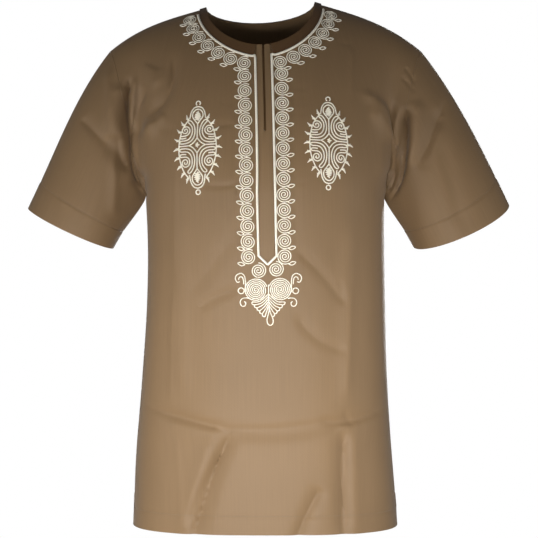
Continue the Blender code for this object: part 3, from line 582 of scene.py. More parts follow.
def sleeve_grid(sleeve, rises, steps):
    """Rings from the armhole to the cuff. Each starts at the underarm and passes the front first."""
    edge = float(sleeve[0])
    column = np.array([edge])
    front = np.concatenate([high_point(-1, column, rise) for rise in rises])
    back = np.concatenate([high_point(1, column, rise) for rise in rises])
    armhole = np.concatenate([front, back[-2::-1]])
    centre, across, down, drop = cuff_frame(sleeve)
    run = np.concatenate([[0.0], np.cumsum(np.linalg.norm(np.diff(armhole, axis=0), axis=1))])
    middle = len(rises) - 1
    turn = np.where(
        np.arange(len(run)) <= middle,
        pi * run / run[middle],
        pi + pi * (run - run[middle]) / (run[-1] - run[middle]),
    )[:, None]
    forward = np.array([0.0, -CUFF_HALF_DEPTH, 0.0]) + down * drop
    cuff = centre - across * np.cos(turn) + forward * np.sin(turn)
    length = np.linalg.norm(cuff - armhole, axis=1, keepdims=True)
    top = (1 - np.cos(turn)) / 2
    out = np.array([edge * SLEEVE_OUT[0], 0.0, SLEEVE_OUT[1]])
    leave = (down * (1 - top) + out * top) * length
    to_hem = 1 - SLEEVE_HEM / length
    places = [share * to_hem for share in np.linspace(0, 1, steps)] + [1.0]
    return np.stack([hermite(armhole, leave, cuff, down * length, t) for t in places])


def fold_height(points, folds):
    """Height of the folds at each point, from its place seen from the front."""
    places = points[:, [0, 2]]
    height = np.zeros(len(places))
    for x0, z0, x1, z1, x2, z2, half_width, rise, power in folds:
        t = np.linspace(0, 1, FOLD_STEPS + 1)[:, None]
        bend = 2 * np.array([x1, z1]) - 0.5 * np.array([x0 + x2, z0 + z2])
        line = (1 - t) ** 2 * [x0, z0] + 2 * t * (1 - t) * bend + t**2 * [x2, z2]
        reach = FOLD_REACH * half_width ** (1 if power > PRESSED_POWER else PRESSED_SPREAD)
        inside = (places > line.min(0) - reach) & (places < line.max(0) + reach)
        close = np.flatnonzero(inside.all(1))
        flat = places[close]
        near = np.full(len(flat), np.inf)
        place = np.zeros(len(flat))
        for i in range(len(line) - 1):
            step = line[i + 1] - line[i]
            along = np.clip((flat - line[i]) @ step / (step @ step), 0, 1)
            gap = np.linalg.norm(flat - line[i] - along[:, None] * step, axis=1)
            closer = gap < near
            near = np.where(closer, gap, near)
            place = np.where(closer, (i + along) / (len(line) - 1), place)
        fade = np.clip(np.minimum(place, 1 - place) * FOLD_FADE + FOLD_END, 0, 1)
        height[close] += rise * np.exp(-((near / half_width) ** power)) * fade**2 * (3 - 2 * fade)
    return height


def joined_normals(grids):
    """Unit normals of all the grids as one surface, so that neighbours share theirs along a seam."""
    sums = {}
    keys = []
    for grid in grids:
        across = grid[:-1, 1:] - grid[1:, :-1]
        other = grid[1:, 1:] - grid[:-1, :-1]
        face = np.cross(across, other)
        total = np.zeros_like(grid)
        for rows, columns in ((0, 0), (0, 1), (1, 0), (1, 1)):
            total[rows : rows + len(face), columns : columns + face.shape[1]] += face
        key = [tuple(k) for k in np.round(grid.reshape(-1, 3) * SAME_PLACE).astype(int)]
        keys.append(key)
        for k, normal in zip(key, total.reshape(-1, 3)):
            sums[k] = sums.get(k, 0) + normal
    result = []
    for grid, key in zip(grids, keys):
        normal = np.array([sums[k] for k in key])
        normal /= np.maximum(np.linalg.norm(normal, axis=1, keepdims=True), 1e-12)
        result.append(normal.reshape(grid.shape))
    return result


def shirt_surfaces(columns, levels, sleeve_steps):
    """The middle surfaces of front, back, right sleeve and left sleeve, and their normals."""
    rises = [level for level in levels if level >= 0]
    front = body_grid(-1, columns, levels)
    back = body_grid(1, columns[::-1], levels)
    right = sleeve_grid(SLEEVES[0], rises, sleeve_steps)
    left = sleeve_grid(SLEEVES[1], rises, sleeve_steps)[:, ::-1]
    grids = [front, back, right, left]
    normals = joined_normals(grids)
    for i, (grid, normal) in enumerate(zip(grids, normals)):
        points = grid.reshape(-1, 3)
        ahead = np.clip(0.5 - points[:, 1] / SIDE_BLEND, 0, 1)
        height = ahead * fold_height(points, FRONT_FOLDS) + (1 - ahead) * fold_height(points, BACK_FOLDS)
        grids[i] = grid + normal * height.reshape(grid.shape[:2] + (1,))
    return grids, joined_normals(grids)


def seam_shift(grid, normals, sides=True, top=True, bottom=True):
    """The grid with its sewn edges pulled in by half the seam gap. A ring has no sewn sides."""
    moved = grid.copy()

    def pull(edge, inner, normal):
        along = np.gradient(edge, axis=0)
        if not sides:
            along[0] = along[-1] = edge[1] - edge[-2]
        step = np.cross(along, normal)
        step *= np.sign(np.sum(step * (inner - edge), axis=-1, keepdims=True))
        return step * (SEAM_GAP / 2 / np.linalg.norm(step, axis=-1, keepdims=True))

    if sides:
        moved[:, 0] += pull(grid[:, 0], grid[:, 1], normals[:, 0])
        moved[:, -1] += pull(grid[:, -1], grid[:, -2], normals[:, -1])
    if top:
        moved[-1] += pull(grid[-1], grid[-2], normals[-1])
    if bottom:
        moved[0] += pull(grid[0], grid[1], normals[0])
    return moved


def surface_tree(grids):
    """A search tree over the front and back."""
    points, faces = [], []
    for grid in grids:
        rows, columns = grid.shape[:2]
        start = len(points)
        points.extend(Vector(p) for p in grid.reshape(-1, 3))
        for r in range(rows - 1):
            for c in range(columns - 1):
                a = start + r * columns + c
                faces.append((a, a + 1, a + columns + 1, a + columns))
    return BVHTree.FromPolygons(points, faces)


def laid(trees, point, lift):
    """The place above the cloth nearest a point, and the cloth's normal there, evened out."""
    panels, smooth = trees
    where = panels.find_nearest(Vector(point))[0]
    normal = Vector((0, 0, 0))
    for x, y in ((0, 0), (1, 0), (-1, 0), (0, 1), (0, -1)):
        normal += smooth.find_nearest(where + Vector((x, y, 0)) * EVEN_OUT)[1]
    normal = np.array(normal.normalized())
    return np.array(where) + normal * lift, normal


def neck_run(face, start, end, steps):
    """Points of the neck edge between two places on it, and the directions along it."""
    points = neck_point(face, np.linspace(start, end, steps + 1))
    ahead = np.gradient(points, axis=0)
    return points, ahead / np.linalg.norm(ahead, axis=1, keepdims=True)


def away_from_neck(trees, points, ahead):
    """The direction on the cloth, square to the neck edge and away from the neck."""
    hole = np.array([NECK_CENTRE_X, 0.0, -NECK_FRONT_DROP / 2])
    result = []
    for point, along in zip(points, ahead):
        side = np.cross(laid(trees, point, 0)[1], along)
        if abs(point[1]) < 1 / SAME_PLACE:
            edge = np.sign(point[0] - NECK_CENTRE_X) * NECK_SHARE
            side = top_point(np.array([edge * BESIDE_NECK]))[0] - point
        side /= np.linalg.norm(side)
        result.append(side if side @ (point - hole) > 0 else -side)
    return np.array(result)


def walk(trees, start, heading, distances):
    """Places on the cloth at rising distances from a start, keeping as straight as the cloth lets it."""
    here, done, result = laid(trees, start, 0)[0], 0.0, []
    for distance in distances:
        steps = max(1, round((distance - done) / WALK_STEP))
        for _ in range(steps if distance > done else 0):
            onward = laid(trees, here + heading * (distance - done) / steps, 0)[0]
            heading = (onward - here) / np.linalg.norm(onward - here)
            here = onward
        done = distance
        result.append(here)
    return result


def band_width(face, places):
    """How wide the neckband is at places on the neck edge. It is widest at the middle of the front."""
    middle = (1 - np.abs(places)) * (face < 0)
    return BAND_SHOULDER + (BAND_MIDDLE - BAND_SHOULDER) * middle


def surface_normals(columns, levels):
    """Normals of the smooth front at the columns and levels given."""
    result = []
    for level in levels:
        low = body_row(-1, columns, max(-1, level - NORMAL_STEP))
        high = body_row(-1, columns, min(1, level + NORMAL_STEP))
        left = body_row(-1, columns - NORMAL_STEP, level)
        right = body_row(-1, columns + NORMAL_STEP, level)
        normal = np.cross(right - left, high - low)
        result.append(normal / np.linalg.norm(normal, axis=1, keepdims=True))
    return np.array(result)


def placket_share(level):
    """Half the placket's width as a share of the half girth. It narrows from the underarm to the neck."""
    return PLACKET_SHARE + (PLACKET_TOP_SHARE - PLACKET_SHARE) * max(0.0, level)


def cord_route(trees, levels):
    """The cord's way round the right band, down and up the placket, and round the left band."""
    lift = WALL / 2 + BAND_GAP + CORD_RADIUS
    square = low_level(PLACKET_SQUARE_Z)
    round_neck, down = {}, {}
    for side in (-1, 1):
        start = side * (1 - CORD_BACK_SHARE)
        end = side * CORD_START * PLACKET_TOP_SHARE / NECK_SHARE
        points, ahead = neck_run(-1, start, end, CORD_STEPS)
        away = away_from_neck(trees, points, ahead)
        out = band_width(-1, np.linspace(start, end, CORD_STEPS + 1))[:, None] + CORD_CLEAR
        round_neck[side] = [walk(trees, *way)[0] for way in zip(points, away, out)]
        rows = [square, *(level for level in levels if square < level < CORD_TOP_LEVEL)]
        columns = [np.array([side * placket_share(level)]) for level in rows]
        points = np.concatenate([body_row(-1, column, level) for column, level in zip(columns, rows)])
        points[:, 0] += side * CORD_CLEAR
        corner = points[-1].copy()
        corner[2] = round_neck[side][-1][2] - SEAM_GAP
        below = [p for p in points if p[2] < corner[2] - CORD_RADIUS]
        down[side] = [*below, corner][::-1]
    middle = body_row(-1, np.zeros(1), low_level(PLACKET_TIP_Z))[0]
    middle[2] -= TIP_CLEAR * CORD_CLEAR
    route = [*round_neck[-1], *down[-1], middle, *down[1][::-1], *round_neck[1][::-1]]
    return [laid(trees, point, lift)[0] for point in route]


def neck_spots(side, first, count):
    """Spots for discs outside the neckband, evenly spaced from a place on its edge to the shoulder."""
    trees = shirt()["trees"]
    last = side * NECK_CHAIN_END
    points, ahead = neck_run(-1, first, last, NECK_CHAIN_STEPS)
    away = away_from_neck(trees, points, ahead)
    places = np.linspace(first, last, NECK_CHAIN_STEPS + 1)
    reach = band_width(-1, places) + NECK_DISC_GAP + DISC_RADIUS
    line = np.array([walk(trees, *way)[-1] for way in zip(points, away, reach[:, None])])
    run = np.concatenate([[0.0], np.cumsum(np.linalg.norm(np.diff(line, axis=0), axis=1))])
    places = np.minimum(np.arange(count) * DISC_PITCH, run[-1])
    centres = np.stack([np.interp(places, run, column) for column in line.T], 1)
    return [on_front(x, z) for x, _, z in centres]


# Shapes shared by the pieces

def cloth_columns():
    """Shares of the half girth from side to side, close together at the placket and the armholes."""
    placket = np.linspace(0, PLACKET_SHARE, PLACKET_COLUMNS + 1)
    neck = np.linspace(PLACKET_SHARE, NECK_SHARE, NECK_COLUMNS + 1)
    side = 1 - (1 - NECK_SHARE) * np.linspace(1, 0, SIDE_COLUMNS + 1) ** SIDE_CROWDING
    half = np.concatenate([placket, neck[1:], side[1:]])
    return np.concatenate([-half[:0:-1], half])


def cloth_levels():
    """Row levels from hem to top, with rows at the hem's stitching and at the slit's end."""
    hem = HEM_DEPTH / (UNDERARM_Z - HEM_Z)
    in_hem = np.linspace(-1, -1 + hem, HEM_ROWS + 1)
    lower = np.linspace(-1 + hem, 0, LOWER_ROWS + 1)
    even = np.linspace(0, 1, UPPER_ROWS + 1)
    upper = (even + np.sin(even * pi / 2)) / 2
    trial = np.linspace(0, 1, LEVEL_SEARCH)
    heights = [high_point(-1, np.zeros(1), t)[0, 2] for t in trial]
    slit = float(np.interp(SLIT_END_Z, heights, trial))
    upper[np.argmin(np.abs(upper - slit))] = slit
    levels = np.concatenate([in_hem[:-1], lower[:-1], upper])
    return levels, int(np.argmin(np.abs(levels - slit)))


@lru_cache(maxsize=None)
def shirt():
    """The creased middle surfaces, their normals, the row levels and search trees over the cloth."""
    levels, slit_row = cloth_levels()
    columns = cloth_columns()
    grids, normals = shirt_surfaces(columns, levels, SLEEVE_ROWS)
    smooth, _ = shirt_surfaces(columns[::2], levels[::2], SLEEVE_ROWS)
    return {
        "grids": grids,
        "normals": normals,
        "columns": columns,
        "levels": levels,
        "slit_row": slit_row,
        "trees": (surface_tree(grids[:2]), surface_tree(smooth[:2])),
    }


def finish_piece(made, material):
    """Gives a new piece its material and the body that it rides on."""
    made.data.materials.append(material)
    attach(made, "root")
    return made


def mesh_piece(bm, name, material):
    """A smooth-shaded piece, with its sharp edges kept sharp."""
    mesh = bpy.data.meshes.new(name)
    bmesh.ops.recalc_face_normals(bm, faces=bm.faces)
    bm.to_mesh(mesh)
    bm.free()
    mesh.shade_smooth()
    mesh.set_sharp_from_angle(angle=radians(SHARP_ANGLE))
    made = bpy.data.objects.new(name, mesh)
    bpy.context.scene.collection.objects.link(made)
    return finish_piece(made, material)


def cloth_uv(grid):
    """Each point's place on the flat cloth: across from the middle column, and up from the first row."""
    across = np.cumsum(np.linalg.norm(np.diff(grid, axis=1), axis=2), axis=1)
    across = np.pad(across, ((0, 0), (1, 0)))
    across -= across[:, grid.shape[1] // 2, None]
    up = np.pad(np.cumsum(np.linalg.norm(np.diff(grid, axis=0), axis=2), axis=0), ((1, 0), (0, 0)))
    return np.stack([across, up], 2).reshape(-1, 2)


def cloth_piece(name, grid, normals, finish, outside, inside, slit=None, round_tube=False):
    """A closed thin wall of cloth round a grid of middle points, which stands for the solid of that name.

    outside and inside are how far the two faces lie from the middle. slit gives the
    column and the first row of a cut that opens at the last row.
    """
    rows, columns = grid.shape[:2]
    bm = bmesh.new()
    bmesh.ops.create_grid(bm, x_segments=columns - 1, y_segments=rows - 1, size=1)
    index = bm.verts.layers.int.new("index")
    shift = bm.verts.layers.float.new("shift")
    bm.verts.ensure_lookup_table()
    for i, vert in enumerate(bm.verts):
        vert[index] = i
    if slit:
        column, first_row = slit
        cut = set(range(first_row * columns + column, rows * columns, columns))
        edges = [e for e in bm.edges if {e.verts[0][index], e.verts[1][index]} <= cut]
        bmesh.ops.split_edges(bm, edges=edges)
        for vert in bm.verts:
            if vert[index] in cut and vert[index] != first_row * columns + column:
                middle = sum(f.calc_center_median().x for f in vert.link_faces) / len(vert.link_faces)
                vert[shift] = SLIT_HALF_GAP * (1 if middle > vert.co.x else -1)
    if round_tube:
        ends = {r * columns + columns - 1: r * columns for r in range(rows)}
        by_index = {v[index]: v for v in bm.verts}
        bmesh.ops.weld_verts(bm, targetmap={by_index[a]: by_index[b] for a, b in ends.items()})
    made = bmesh.ops.extrude_face_region(bm, geom=bm.faces[:])
    outer = {v for v in made["geom"] if isinstance(v, bmesh.types.BMVert)}
    points, across = grid.reshape(-1, 3), normals.reshape(-1, 3)
    out = np.broadcast_to(outside, (rows, columns)).reshape(-1)
    back = np.broadcast_to(inside, (rows, columns)).reshape(-1)
    for vert in bm.verts:
        i = vert[index]
        lift = out[i] if vert in outer else -back[i]
        vert.co = Vector(points[i] + across[i] * lift) + Vector((vert[shift], 0, 0))
    places = cloth_uv(grid)
    layer = bm.loops.layers.uv.new("cloth")
    for face in bm.faces:
        for loop in face.loops:
            loop[layer].uv = places[loop.vert[index]]
    made = mesh_piece(bm, name + "_cloth", material(finish))
    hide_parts(name)
    return made


# Thread

def evenly(line, step):
    """The line again, with its points a step apart."""
    run = np.concatenate([[0.0], np.cumsum(np.linalg.norm(np.diff(line, axis=0), axis=1))])
    count = max(2, round(run[-1] / step) + 1)
    places = np.linspace(0, run[-1], count)
    return np.stack([np.interp(places, run, column) for column in line.T], 1)


def smooth_line(points, closed=False):
    """A smooth line through the points given."""
    keys = np.array(points, float)
    if closed:
        keys = np.concatenate([keys[-1:], keys, keys[:2]])
    else:
        keys = np.concatenate([[2 * keys[0] - keys[1]], keys, [2 * keys[-1] - keys[-2]]])
    t = np.linspace(0, 1, LINE_STEPS + 1)[:-1, None]
    spans = [
        0.5 * (2 * b + (c - a) * t + (2 * a - 5 * b + 4 * c - d) * t**2 + (3 * b - a - 3 * c + d) * t**3)
        for a, b, c, d in zip(keys, keys[1:], keys[2:], keys[3:])
    ]
    return np.concatenate([*spans, keys[-2:-1]])


def spiral(centre, radius, turns, end_angle, way=1.0, eye=DISC_EYE):
    """A spiral from its eye out to its radius, which it reaches at the end angle."""
    share = np.sqrt(np.linspace(eye**2, 1, round(SPIRAL_STEPS * turns)))
    angle = end_angle - way * 2 * pi * turns * (1 - share)
    return np.array(centre) + radius * share[:, None] * np.stack([np.cos(angle), np.sin(angle)], 1)


def ring(centre, radius, start=0.0, sweep=2 * pi):
    """A circle or an arc of it."""
    angle = start + np.linspace(0, sweep, RING_STEPS + 1)
    return np.array(centre) + radius * np.stack([np.cos(angle), np.sin(angle)], 1)


def on_front(x, z):
    """The place on the front that shows at (x, z), and the cloth's right, up and outward ways there."""
    trees = shirt()["trees"]
    where = trees[0].ray_cast(Vector((x, -1, z)), Vector((0, 1, 0)))[0]
    out = Vector(laid(trees, where, 0)[1])
    right = (Vector((1, 0, 0)) - out * out.x).normalized()
    return where, right, out.cross(right), out


def sewn_down(spot, flat):
    """The middle of a thread laid on the front along points drawn flat at a spot on it."""
    where, right, up, out = spot
    panels = shirt()["trees"][0]
    lift = WALL / 2 + bpy.context.scene.shirt_sizes.thread * (1 - THREAD_SUNK)
    result = []
    for u, v in evenly(flat, THREAD_STEP):
        hit, normal, _, _ = panels.ray_cast(where + right * u + up * v + out * THREAD_DROP, -out)
        result.append(hit + normal * lift)
    return result


def thread_run(spot, flat, widths=None):
    """A sewn thread as places and widths. With no widths given it narrows a little at every second stitch."""
    places = sewn_down(spot, flat)
    if widths is None:
        return places, [1 - STITCH_PULL * (i % 2) for i in range(len(places))]
    share = np.linspace(0, 1, len(places))
    return places, np.interp(share, np.linspace(0, 1, len(widths)), widths)


def thread_piece(name, runs, radius, finish, roundness=1):
    """Round threads along runs, each a list of places and a list of widths."""
    data = bpy.data.curves.new(name, "CURVE")
    data.dimensions = "3D"
    data.bevel_depth = radius
    data.bevel_resolution = roundness
    data.use_fill_caps = True
    for places, widths in runs:
        spline = data.splines.new("POLY")
        spline.points.add(len(places) - 1)
        for point, place, width in zip(spline.points, places, widths):
            point.co = (*place, 1.0)
            point.radius = width
    made = bpy.data.objects.new(name, data)
    bpy.context.scene.collection.objects.link(made)
    return finish_piece(made, material(finish))


def mirrored(lines, across=(-1, 1), down=(1, 1)):
    """Copies of lines with their two coordinates scaled: one copy for each pair of scales."""
    return [line * np.array([a, b]) for a, b in zip(across, down) for line in lines]


def satin_fill(half_width, low, high, pitch=1.1):
    """A zigzag that fills a shape from low to high. half_width gives its width at each share of the way."""
    count = round((high - low) / pitch)
    share = np.linspace(0, 1, count + 1)
    side = np.where(np.arange(count + 1) % 2, 1.0, -1.0)
    return np.stack([side * half_width(share), low + (high - low) * share], 1)


def medallion_lines():
    """The medallion's threads and its thorns, in millimetres from the middle of its star."""
    scroll = spiral(SCROLL, SCROLL_RADIUS, SCROLL_TURNS, -pi / 2, eye=SCROLL_EYE)
    quarter = [smooth_line(points) for points in (STAR, DROP_LOOP, DROP_ARCH)]
    quarter += [np.concatenate([scroll, smooth_line(SCROLL_TAIL)]), smooth_line(LABYRINTH, closed=True)]
    quarters = mirrored(quarter, (1, -1, 1, -1), (1, 1, -LOWER_STRETCH, -LOWER_STRETCH))
    low, high, wide = DROP_FILL
    drop = satin_fill(lambda t: wide * np.sin(pi * t**0.8) ** 0.8, low, high)
    heart = satin_fill(lambda t: STAR_HEART * (1 - np.abs(2 * t - 1)), -STAR_HEART, STAR_HEART)
    drops = mirrored([drop], (1, 1), (1, -LOWER_STRETCH))
    axes = [
        np.array([STAR[0], (0, DROP_LOOP[0][1])]),
        np.array([(0, -STAR[0][1] * LOWER_STRETCH), (0, -DROP_LOOP[0][1] * LOWER_STRETCH)]),
        np.array([STAR[-1], (OUTLINE[0] - AXIS_INSET, 0)]),
        np.array([(-STAR[-1][0], 0), (AXIS_INSET - OUTLINE[0], 0)]),
    ]
    crest_z, crest_radius = CREST_RING
    crests = [
        ring((0, crest_z), crest_radius, radians(CREST_START), radians(CREST_SWEEP)),
        ring((0, -crest_z * LOWER_STRETCH), crest_radius, pi / 2),
    ]
    threads = quarters + drops + axes + crests + [heart]
    thorns, barbs = [], []
    wide, tall, middle = OUTLINE
    for angle in np.radians(np.linspace(-THORN_SPAN, THORN_SPAN, THORNS)):
        foot = np.array([wide * cos(angle), middle + tall * sin(angle)])
        away = np.array([cos(angle) / wide, sin(angle) / tall])
        away /= np.linalg.norm(away)
        along = np.array([-away[1], away[0]]) * (1 if angle > 0 else -1)
        tip = foot + away * THORN_LENGTH + along * THORN_CURL
        thorns.append(smooth_line([foot - along / 2, foot + away * THORN_LENGTH / 2, tip]))
        barbs.append(np.array([foot + away * BARB_FOOT, foot + (away - along * BARB_LEAN) * BARB_LENGTH]))
    edge = ring((0, 0), 1.0, radians(-THORN_SPAN), radians(2 * THORN_SPAN))
    edge = edge * [wide - OUTLINE_INSET, tall - OUTLINE_INSET] + [0, middle]
    return threads + mirrored([edge], (1, -1)), mirrored(thorns, (1, -1)), mirrored(barbs, (1, -1))


def palmette_lines():
    """The palmette's threads, in millimetres from the join of its two spirals."""
    left, right = PALMETTE_SPIRALS
    lines = [
        spiral(left, PALMETTE_RADIUS, PALMETTE_TURNS, radians(PALMETTE_END), -1.0, PALMETTE_EYE),
        spiral(right, PALMETTE_RADIUS, PALMETTE_TURNS, radians(180 - PALMETTE_END), 1.0, PALMETTE_EYE),
        smooth_line(STEM),
        smooth_line(PALMETTE_DROP, closed=True),
    ]
    share = np.linspace(0, 1, FEATHERS)[:, None]
    feathers = (1 - share) * FIRST_FEATHER + share * np.array(LAST_FEATHER)
    side = []
    for stem_z, bend_x, bend_z, tip_x, tip_z in feathers:
        side.append(smooth_line([(0.3, stem_z), (bend_x, bend_z), (tip_x, tip_z)]))
    tips = feathers[:, 3:]
    for tip, after in zip(tips, tips[1:]):
        out = np.array([tip[1] - after[1], after[0] - tip[0]])
        out *= np.sign(out[0]) * SCALLOP / np.linalg.norm(out)
        side.append(smooth_line([tip, (tip + after) / 2 + out, after]))
    side += [smooth_line(CROOK), smooth_line(CROOK_LINING), smooth_line(LOWER_HOOK)]
    side.append(ring(SIDE_RING[:2], SIDE_RING[2]))
    return lines + mirrored(side, (1, -1))


# Materials

def linear(code):
    """An sRGB hex colour as linear numbers."""
    parts = [int(code[i : i + 2], 16) / 255 for i in (0, 2, 4)]
    return tuple(c / 12.92 if c <= 0.04045 else ((c + 0.055) / 1.055) ** 2.4 for c in parts)


def add_node(tree, kind, inputs, **settings):
    """A node with its settings, and its inputs given as values or as other nodes' outputs."""
    made = tree.nodes.new(kind)
    for name, value in settings.items():
        setattr(made, name, value)
    for socket, value in inputs.items():
        if isinstance(value, bpy.types.NodeSocket):
            tree.links.new(value, made.inputs[socket])
        else:
            made.inputs[socket].default_value = value
    return made


def new_material(name):
    """An empty material and its node tree."""
    made = bpy.data.materials.new(name)
    made.use_nodes = True
    made.node_tree.nodes.clear()
    return made, made.node_tree


def shade_and_end(tree, colour, value, finish):
    """Shades a colour by a value and ends the material with its Principled shader."""
    shade = add_node(tree, "ShaderNodeHueSaturation", {"Color": (*colour, 1.0), "Value": value.outputs[0]})
    shader = add_node(tree, "ShaderNodeBsdfPrincipled", {"Base Color": shade.outputs[0], **finish})
    add_node(tree, "ShaderNodeOutputMaterial", {"Surface": shader.outputs[0]})


def satin_material(name, colour, roughness):
    """Mercerised cotton satin, woven five over one: a smooth face with a soft sheen along its yarns."""
    made, tree = new_material(name)
    where = add_node(tree, "ShaderNodeTexCoord", {})
    yarn = bpy.context.scene.shirt_sizes.yarn
    yarns = add_node(
        tree, "ShaderNodeMapping", {"Vector": where.outputs["UV"], "Scale": (1 / yarn, 1 / yarn, 1.0)}
    )
    warp = add_node(
        tree, "ShaderNodeTexWave", {"Vector": yarns.outputs[0], "Scale": 0.5, "Distortion": 0.4},
        wave_type="BANDS", bands_direction="X", wave_profile="SIN",
    )
    weft = add_node(
        tree, "ShaderNodeTexWave", {"Vector": yarns.outputs[0], "Scale": 0.1, "Distortion": 0.6},
        wave_type="BANDS", bands_direction="DIAGONAL", wave_profile="SIN",
    )
    weave = add_node(
        tree, "ShaderNodeMath", {0: warp.outputs["Fac"], 1: weft.outputs["Fac"]}, operation="MULTIPLY"
    )
    slub = add_node(
        tree, "ShaderNodeMapping", {"Vector": where.outputs["UV"], "Scale": (SLUB_ACROSS, SLUB_ALONG, 1.0)}
    )
    streaks = add_node(
        tree, "ShaderNodeTexNoise", {"Vector": slub.outputs[0], "Scale": 1.0, "Detail": 3.0}
    )
    cloud = add_node(
        tree, "ShaderNodeTexNoise", {"Vector": where.outputs["Object"], "Scale": 7.0, "Detail": 2.0}
    )
    tone = add_node(
        tree, "ShaderNodeMath", {0: streaks.outputs["Fac"], 1: cloud.outputs["Fac"]}, operation="ADD"
    )
    value = add_node(
        tree, "ShaderNodeMapRange",
        {"Value": tone.outputs[0], "From Min": 0.6, "From Max": 1.4, "To Min": 0.93, "To Max": 1.07},
    )
    bump = add_node(
        tree, "ShaderNodeBump", {"Height": weave.outputs[0], "Strength": 0.25, "Distance": yarn * 0.3}
    )
    shade_and_end(tree, colour, value, {
        "Roughness": roughness,
        "IOR": 1.5,
        "Specular IOR Level": 0.17,
        "Sheen Weight": 0.10,
        "Sheen Roughness": 0.5,
        "Normal": bump.outputs[0],
    })
    return made


def thread_material(name, colour):
    """Twisted rayon embroidery thread: pale, a little glossy, ridged by its plies."""
    made, tree = new_material(name)
    where = add_node(tree, "ShaderNodeTexCoord", {})
    plies = add_node(
        tree, "ShaderNodeTexNoise",
        {"Vector": where.outputs["Object"], "Scale": 1 / THREAD_GRAIN, "Detail": 2.0},
    )
    value = add_node(
        tree, "ShaderNodeMapRange",
        {"Value": plies.outputs["Fac"], "From Min": 0.3, "From Max": 0.7, "To Min": 0.90, "To Max": 1.0},
    )
    bump = add_node(
        tree, "ShaderNodeBump", {"Height": plies.outputs["Fac"], "Strength": 0.4, "Distance": 0.0003}
    )
    shade_and_end(
        tree, colour, value, {"Roughness": 0.5, "Sheen Weight": 0.3, "Normal": bump.outputs[0]}
    )
    return made


def board_material(name, colour):
    """Painted board for the floor: matt and even."""
    made, tree = new_material(name)
    where = add_node(tree, "ShaderNodeTexCoord", {})
    grain = add_node(
        tree, "ShaderNodeTexNoise", {"Vector": where.outputs["Object"], "Scale": 3.0, "Detail": 2.0}
    )
    value = add_node(
        tree, "ShaderNodeMapRange", {"Value": grain.outputs["Fac"], "To Min": 0.97, "To Max": 1.0}
    )
    shade_and_end(tree, colour, value, {"Roughness": 0.8})
    return made


def material(name):
    """The material of that name, made once from the colours in the sidebar."""
    finish = bpy.context.scene.shirt_finish
    makers = {
        "cotton_satin_woven": lambda: satin_material(name, finish.cloth, 0.48),
        # The neck strips and the strip behind the slit take the satin in a darker colour, as painted shade.
        "cotton_satin_painted_shade": lambda: satin_material(name, finish.binding, 0.5),
        "polyester_thread_spun": lambda: thread_material(name, finish.sewing),
        "rayon_thread_twisted": lambda: thread_material(name, finish.thread),
        "floor_board_painted": lambda: board_material(name, finish.floor),
    }
    return bpy.data.materials.get(name) or makers[name]()


# Settings in the sidebar

def size_setting(name, description, default):
    """A length that may be a quarter to four times its default."""
    return FloatProperty(
        name=name, description=description, default=default, min=default / 4, max=default * 4,
        precision=5, subtype="DISTANCE", unit="LENGTH",
    )


def colour_setting(name, description, code):
    """A colour, given as sRGB hex."""
    return FloatVectorProperty(
        name=name, description=description, default=linear(code), min=0, max=1, subtype="COLOR"
    )


class ShirtSizes(bpy.types.PropertyGroup):
    """Sizes of the cord, threads and yarns. One line of embroidery stands for several stitches side by side.

    The yarns are three times as coarse as the real ones of 0.2 mm, so that they show.
    """

    cord: size_setting("Cord", "Half the neck cord's thickness", 0.00165)
    thread: size_setting("Thread", "Half the width of a line of embroidery", 0.00088)
    bold_thread: size_setting("Bold Thread", "Half the width of a line in the medallions", 0.00105)
    stitch: size_setting("Stitch", "Half the thickness of the hems' thread", 0.00026)
    stitch_pitch: size_setting("Stitch Pitch", "Length of one machine stitch and its gap", 0.0030)
    yarn: size_setting("Yarn", "Width of the satin's yarns", 0.0006)


class ShirtFinish(bpy.types.PropertyGroup):
    """Colours of the cloth, the threads and the floor, and the cloth's colour darkened as painted shade for
    the neck strips and the strip behind the slit.
    """

    cloth: colour_setting("Cloth", "Dyed satin cloth", "81684B")
    # The cloth's satin colour darkened: painted shade on the neck strips and on the strip behind the slit.
    binding: colour_setting("Binding", "Neck strips and the strip behind the slit", "5F462D")
    thread: colour_setting("Thread", "Cord and embroidery", "FFF8E6")
    sewing: colour_setting("Sewing", "Machine stitches in the hems", "6E5A40")
    floor: colour_setting("Floor", "Painted floor", "E8E6E2")


# Pieces

class SHIRT_OT_panels(bpy.types.Operator):
    """Build the front and the back from hem to shoulder"""

    bl_idname = "shirt.panels"
    bl_label = "Front and Back"

    def execute(self, context):
        model = shirt()
        out = np.full(model["grids"][0].shape[:2], WALL / 2)
        out[: HEM_ROWS + 1] += HEM_EXTRA
        out[HEM_ROWS + 1] -= HEM_PULL
        middle = len(model["columns"]) // 2
        for name, face, slit in (("front", 0, (middle, model["slit_row"])), ("back", 1, None)):
            normals = model["normals"][face]
            grid = seam_shift(model["grids"][face], normals, bottom=False)
            made = cloth_piece(name, grid, normals, "cotton_satin_woven", out, WALL / 2, slit)
        return {"FINISHED"}


class SHIRT_OT_sleeves(bpy.types.Operator):
    """Build the two short sleeves"""

    bl_idname = "shirt.sleeves"
    bl_label = "Sleeves"

    def execute(self, context):
        model = shirt()
        for name, side in (("right_sleeve", 2), ("left_sleeve", 3)):
            grid, normals = model["grids"][side], model["normals"][side]
            out = np.full(grid.shape[:2], WALL / 2)
            out[-SLEEVE_HEM_ROWS - 1 :] += HEM_EXTRA
            out[-SLEEVE_HEM_ROWS - 2] -= HEM_PULL
            grid = seam_shift(grid, normals, sides=False, top=False)
            made = cloth_piece(
                name, grid, normals, "cotton_satin_woven", out, WALL / 2, round_tube=True
            )
        return {"FINISHED"}


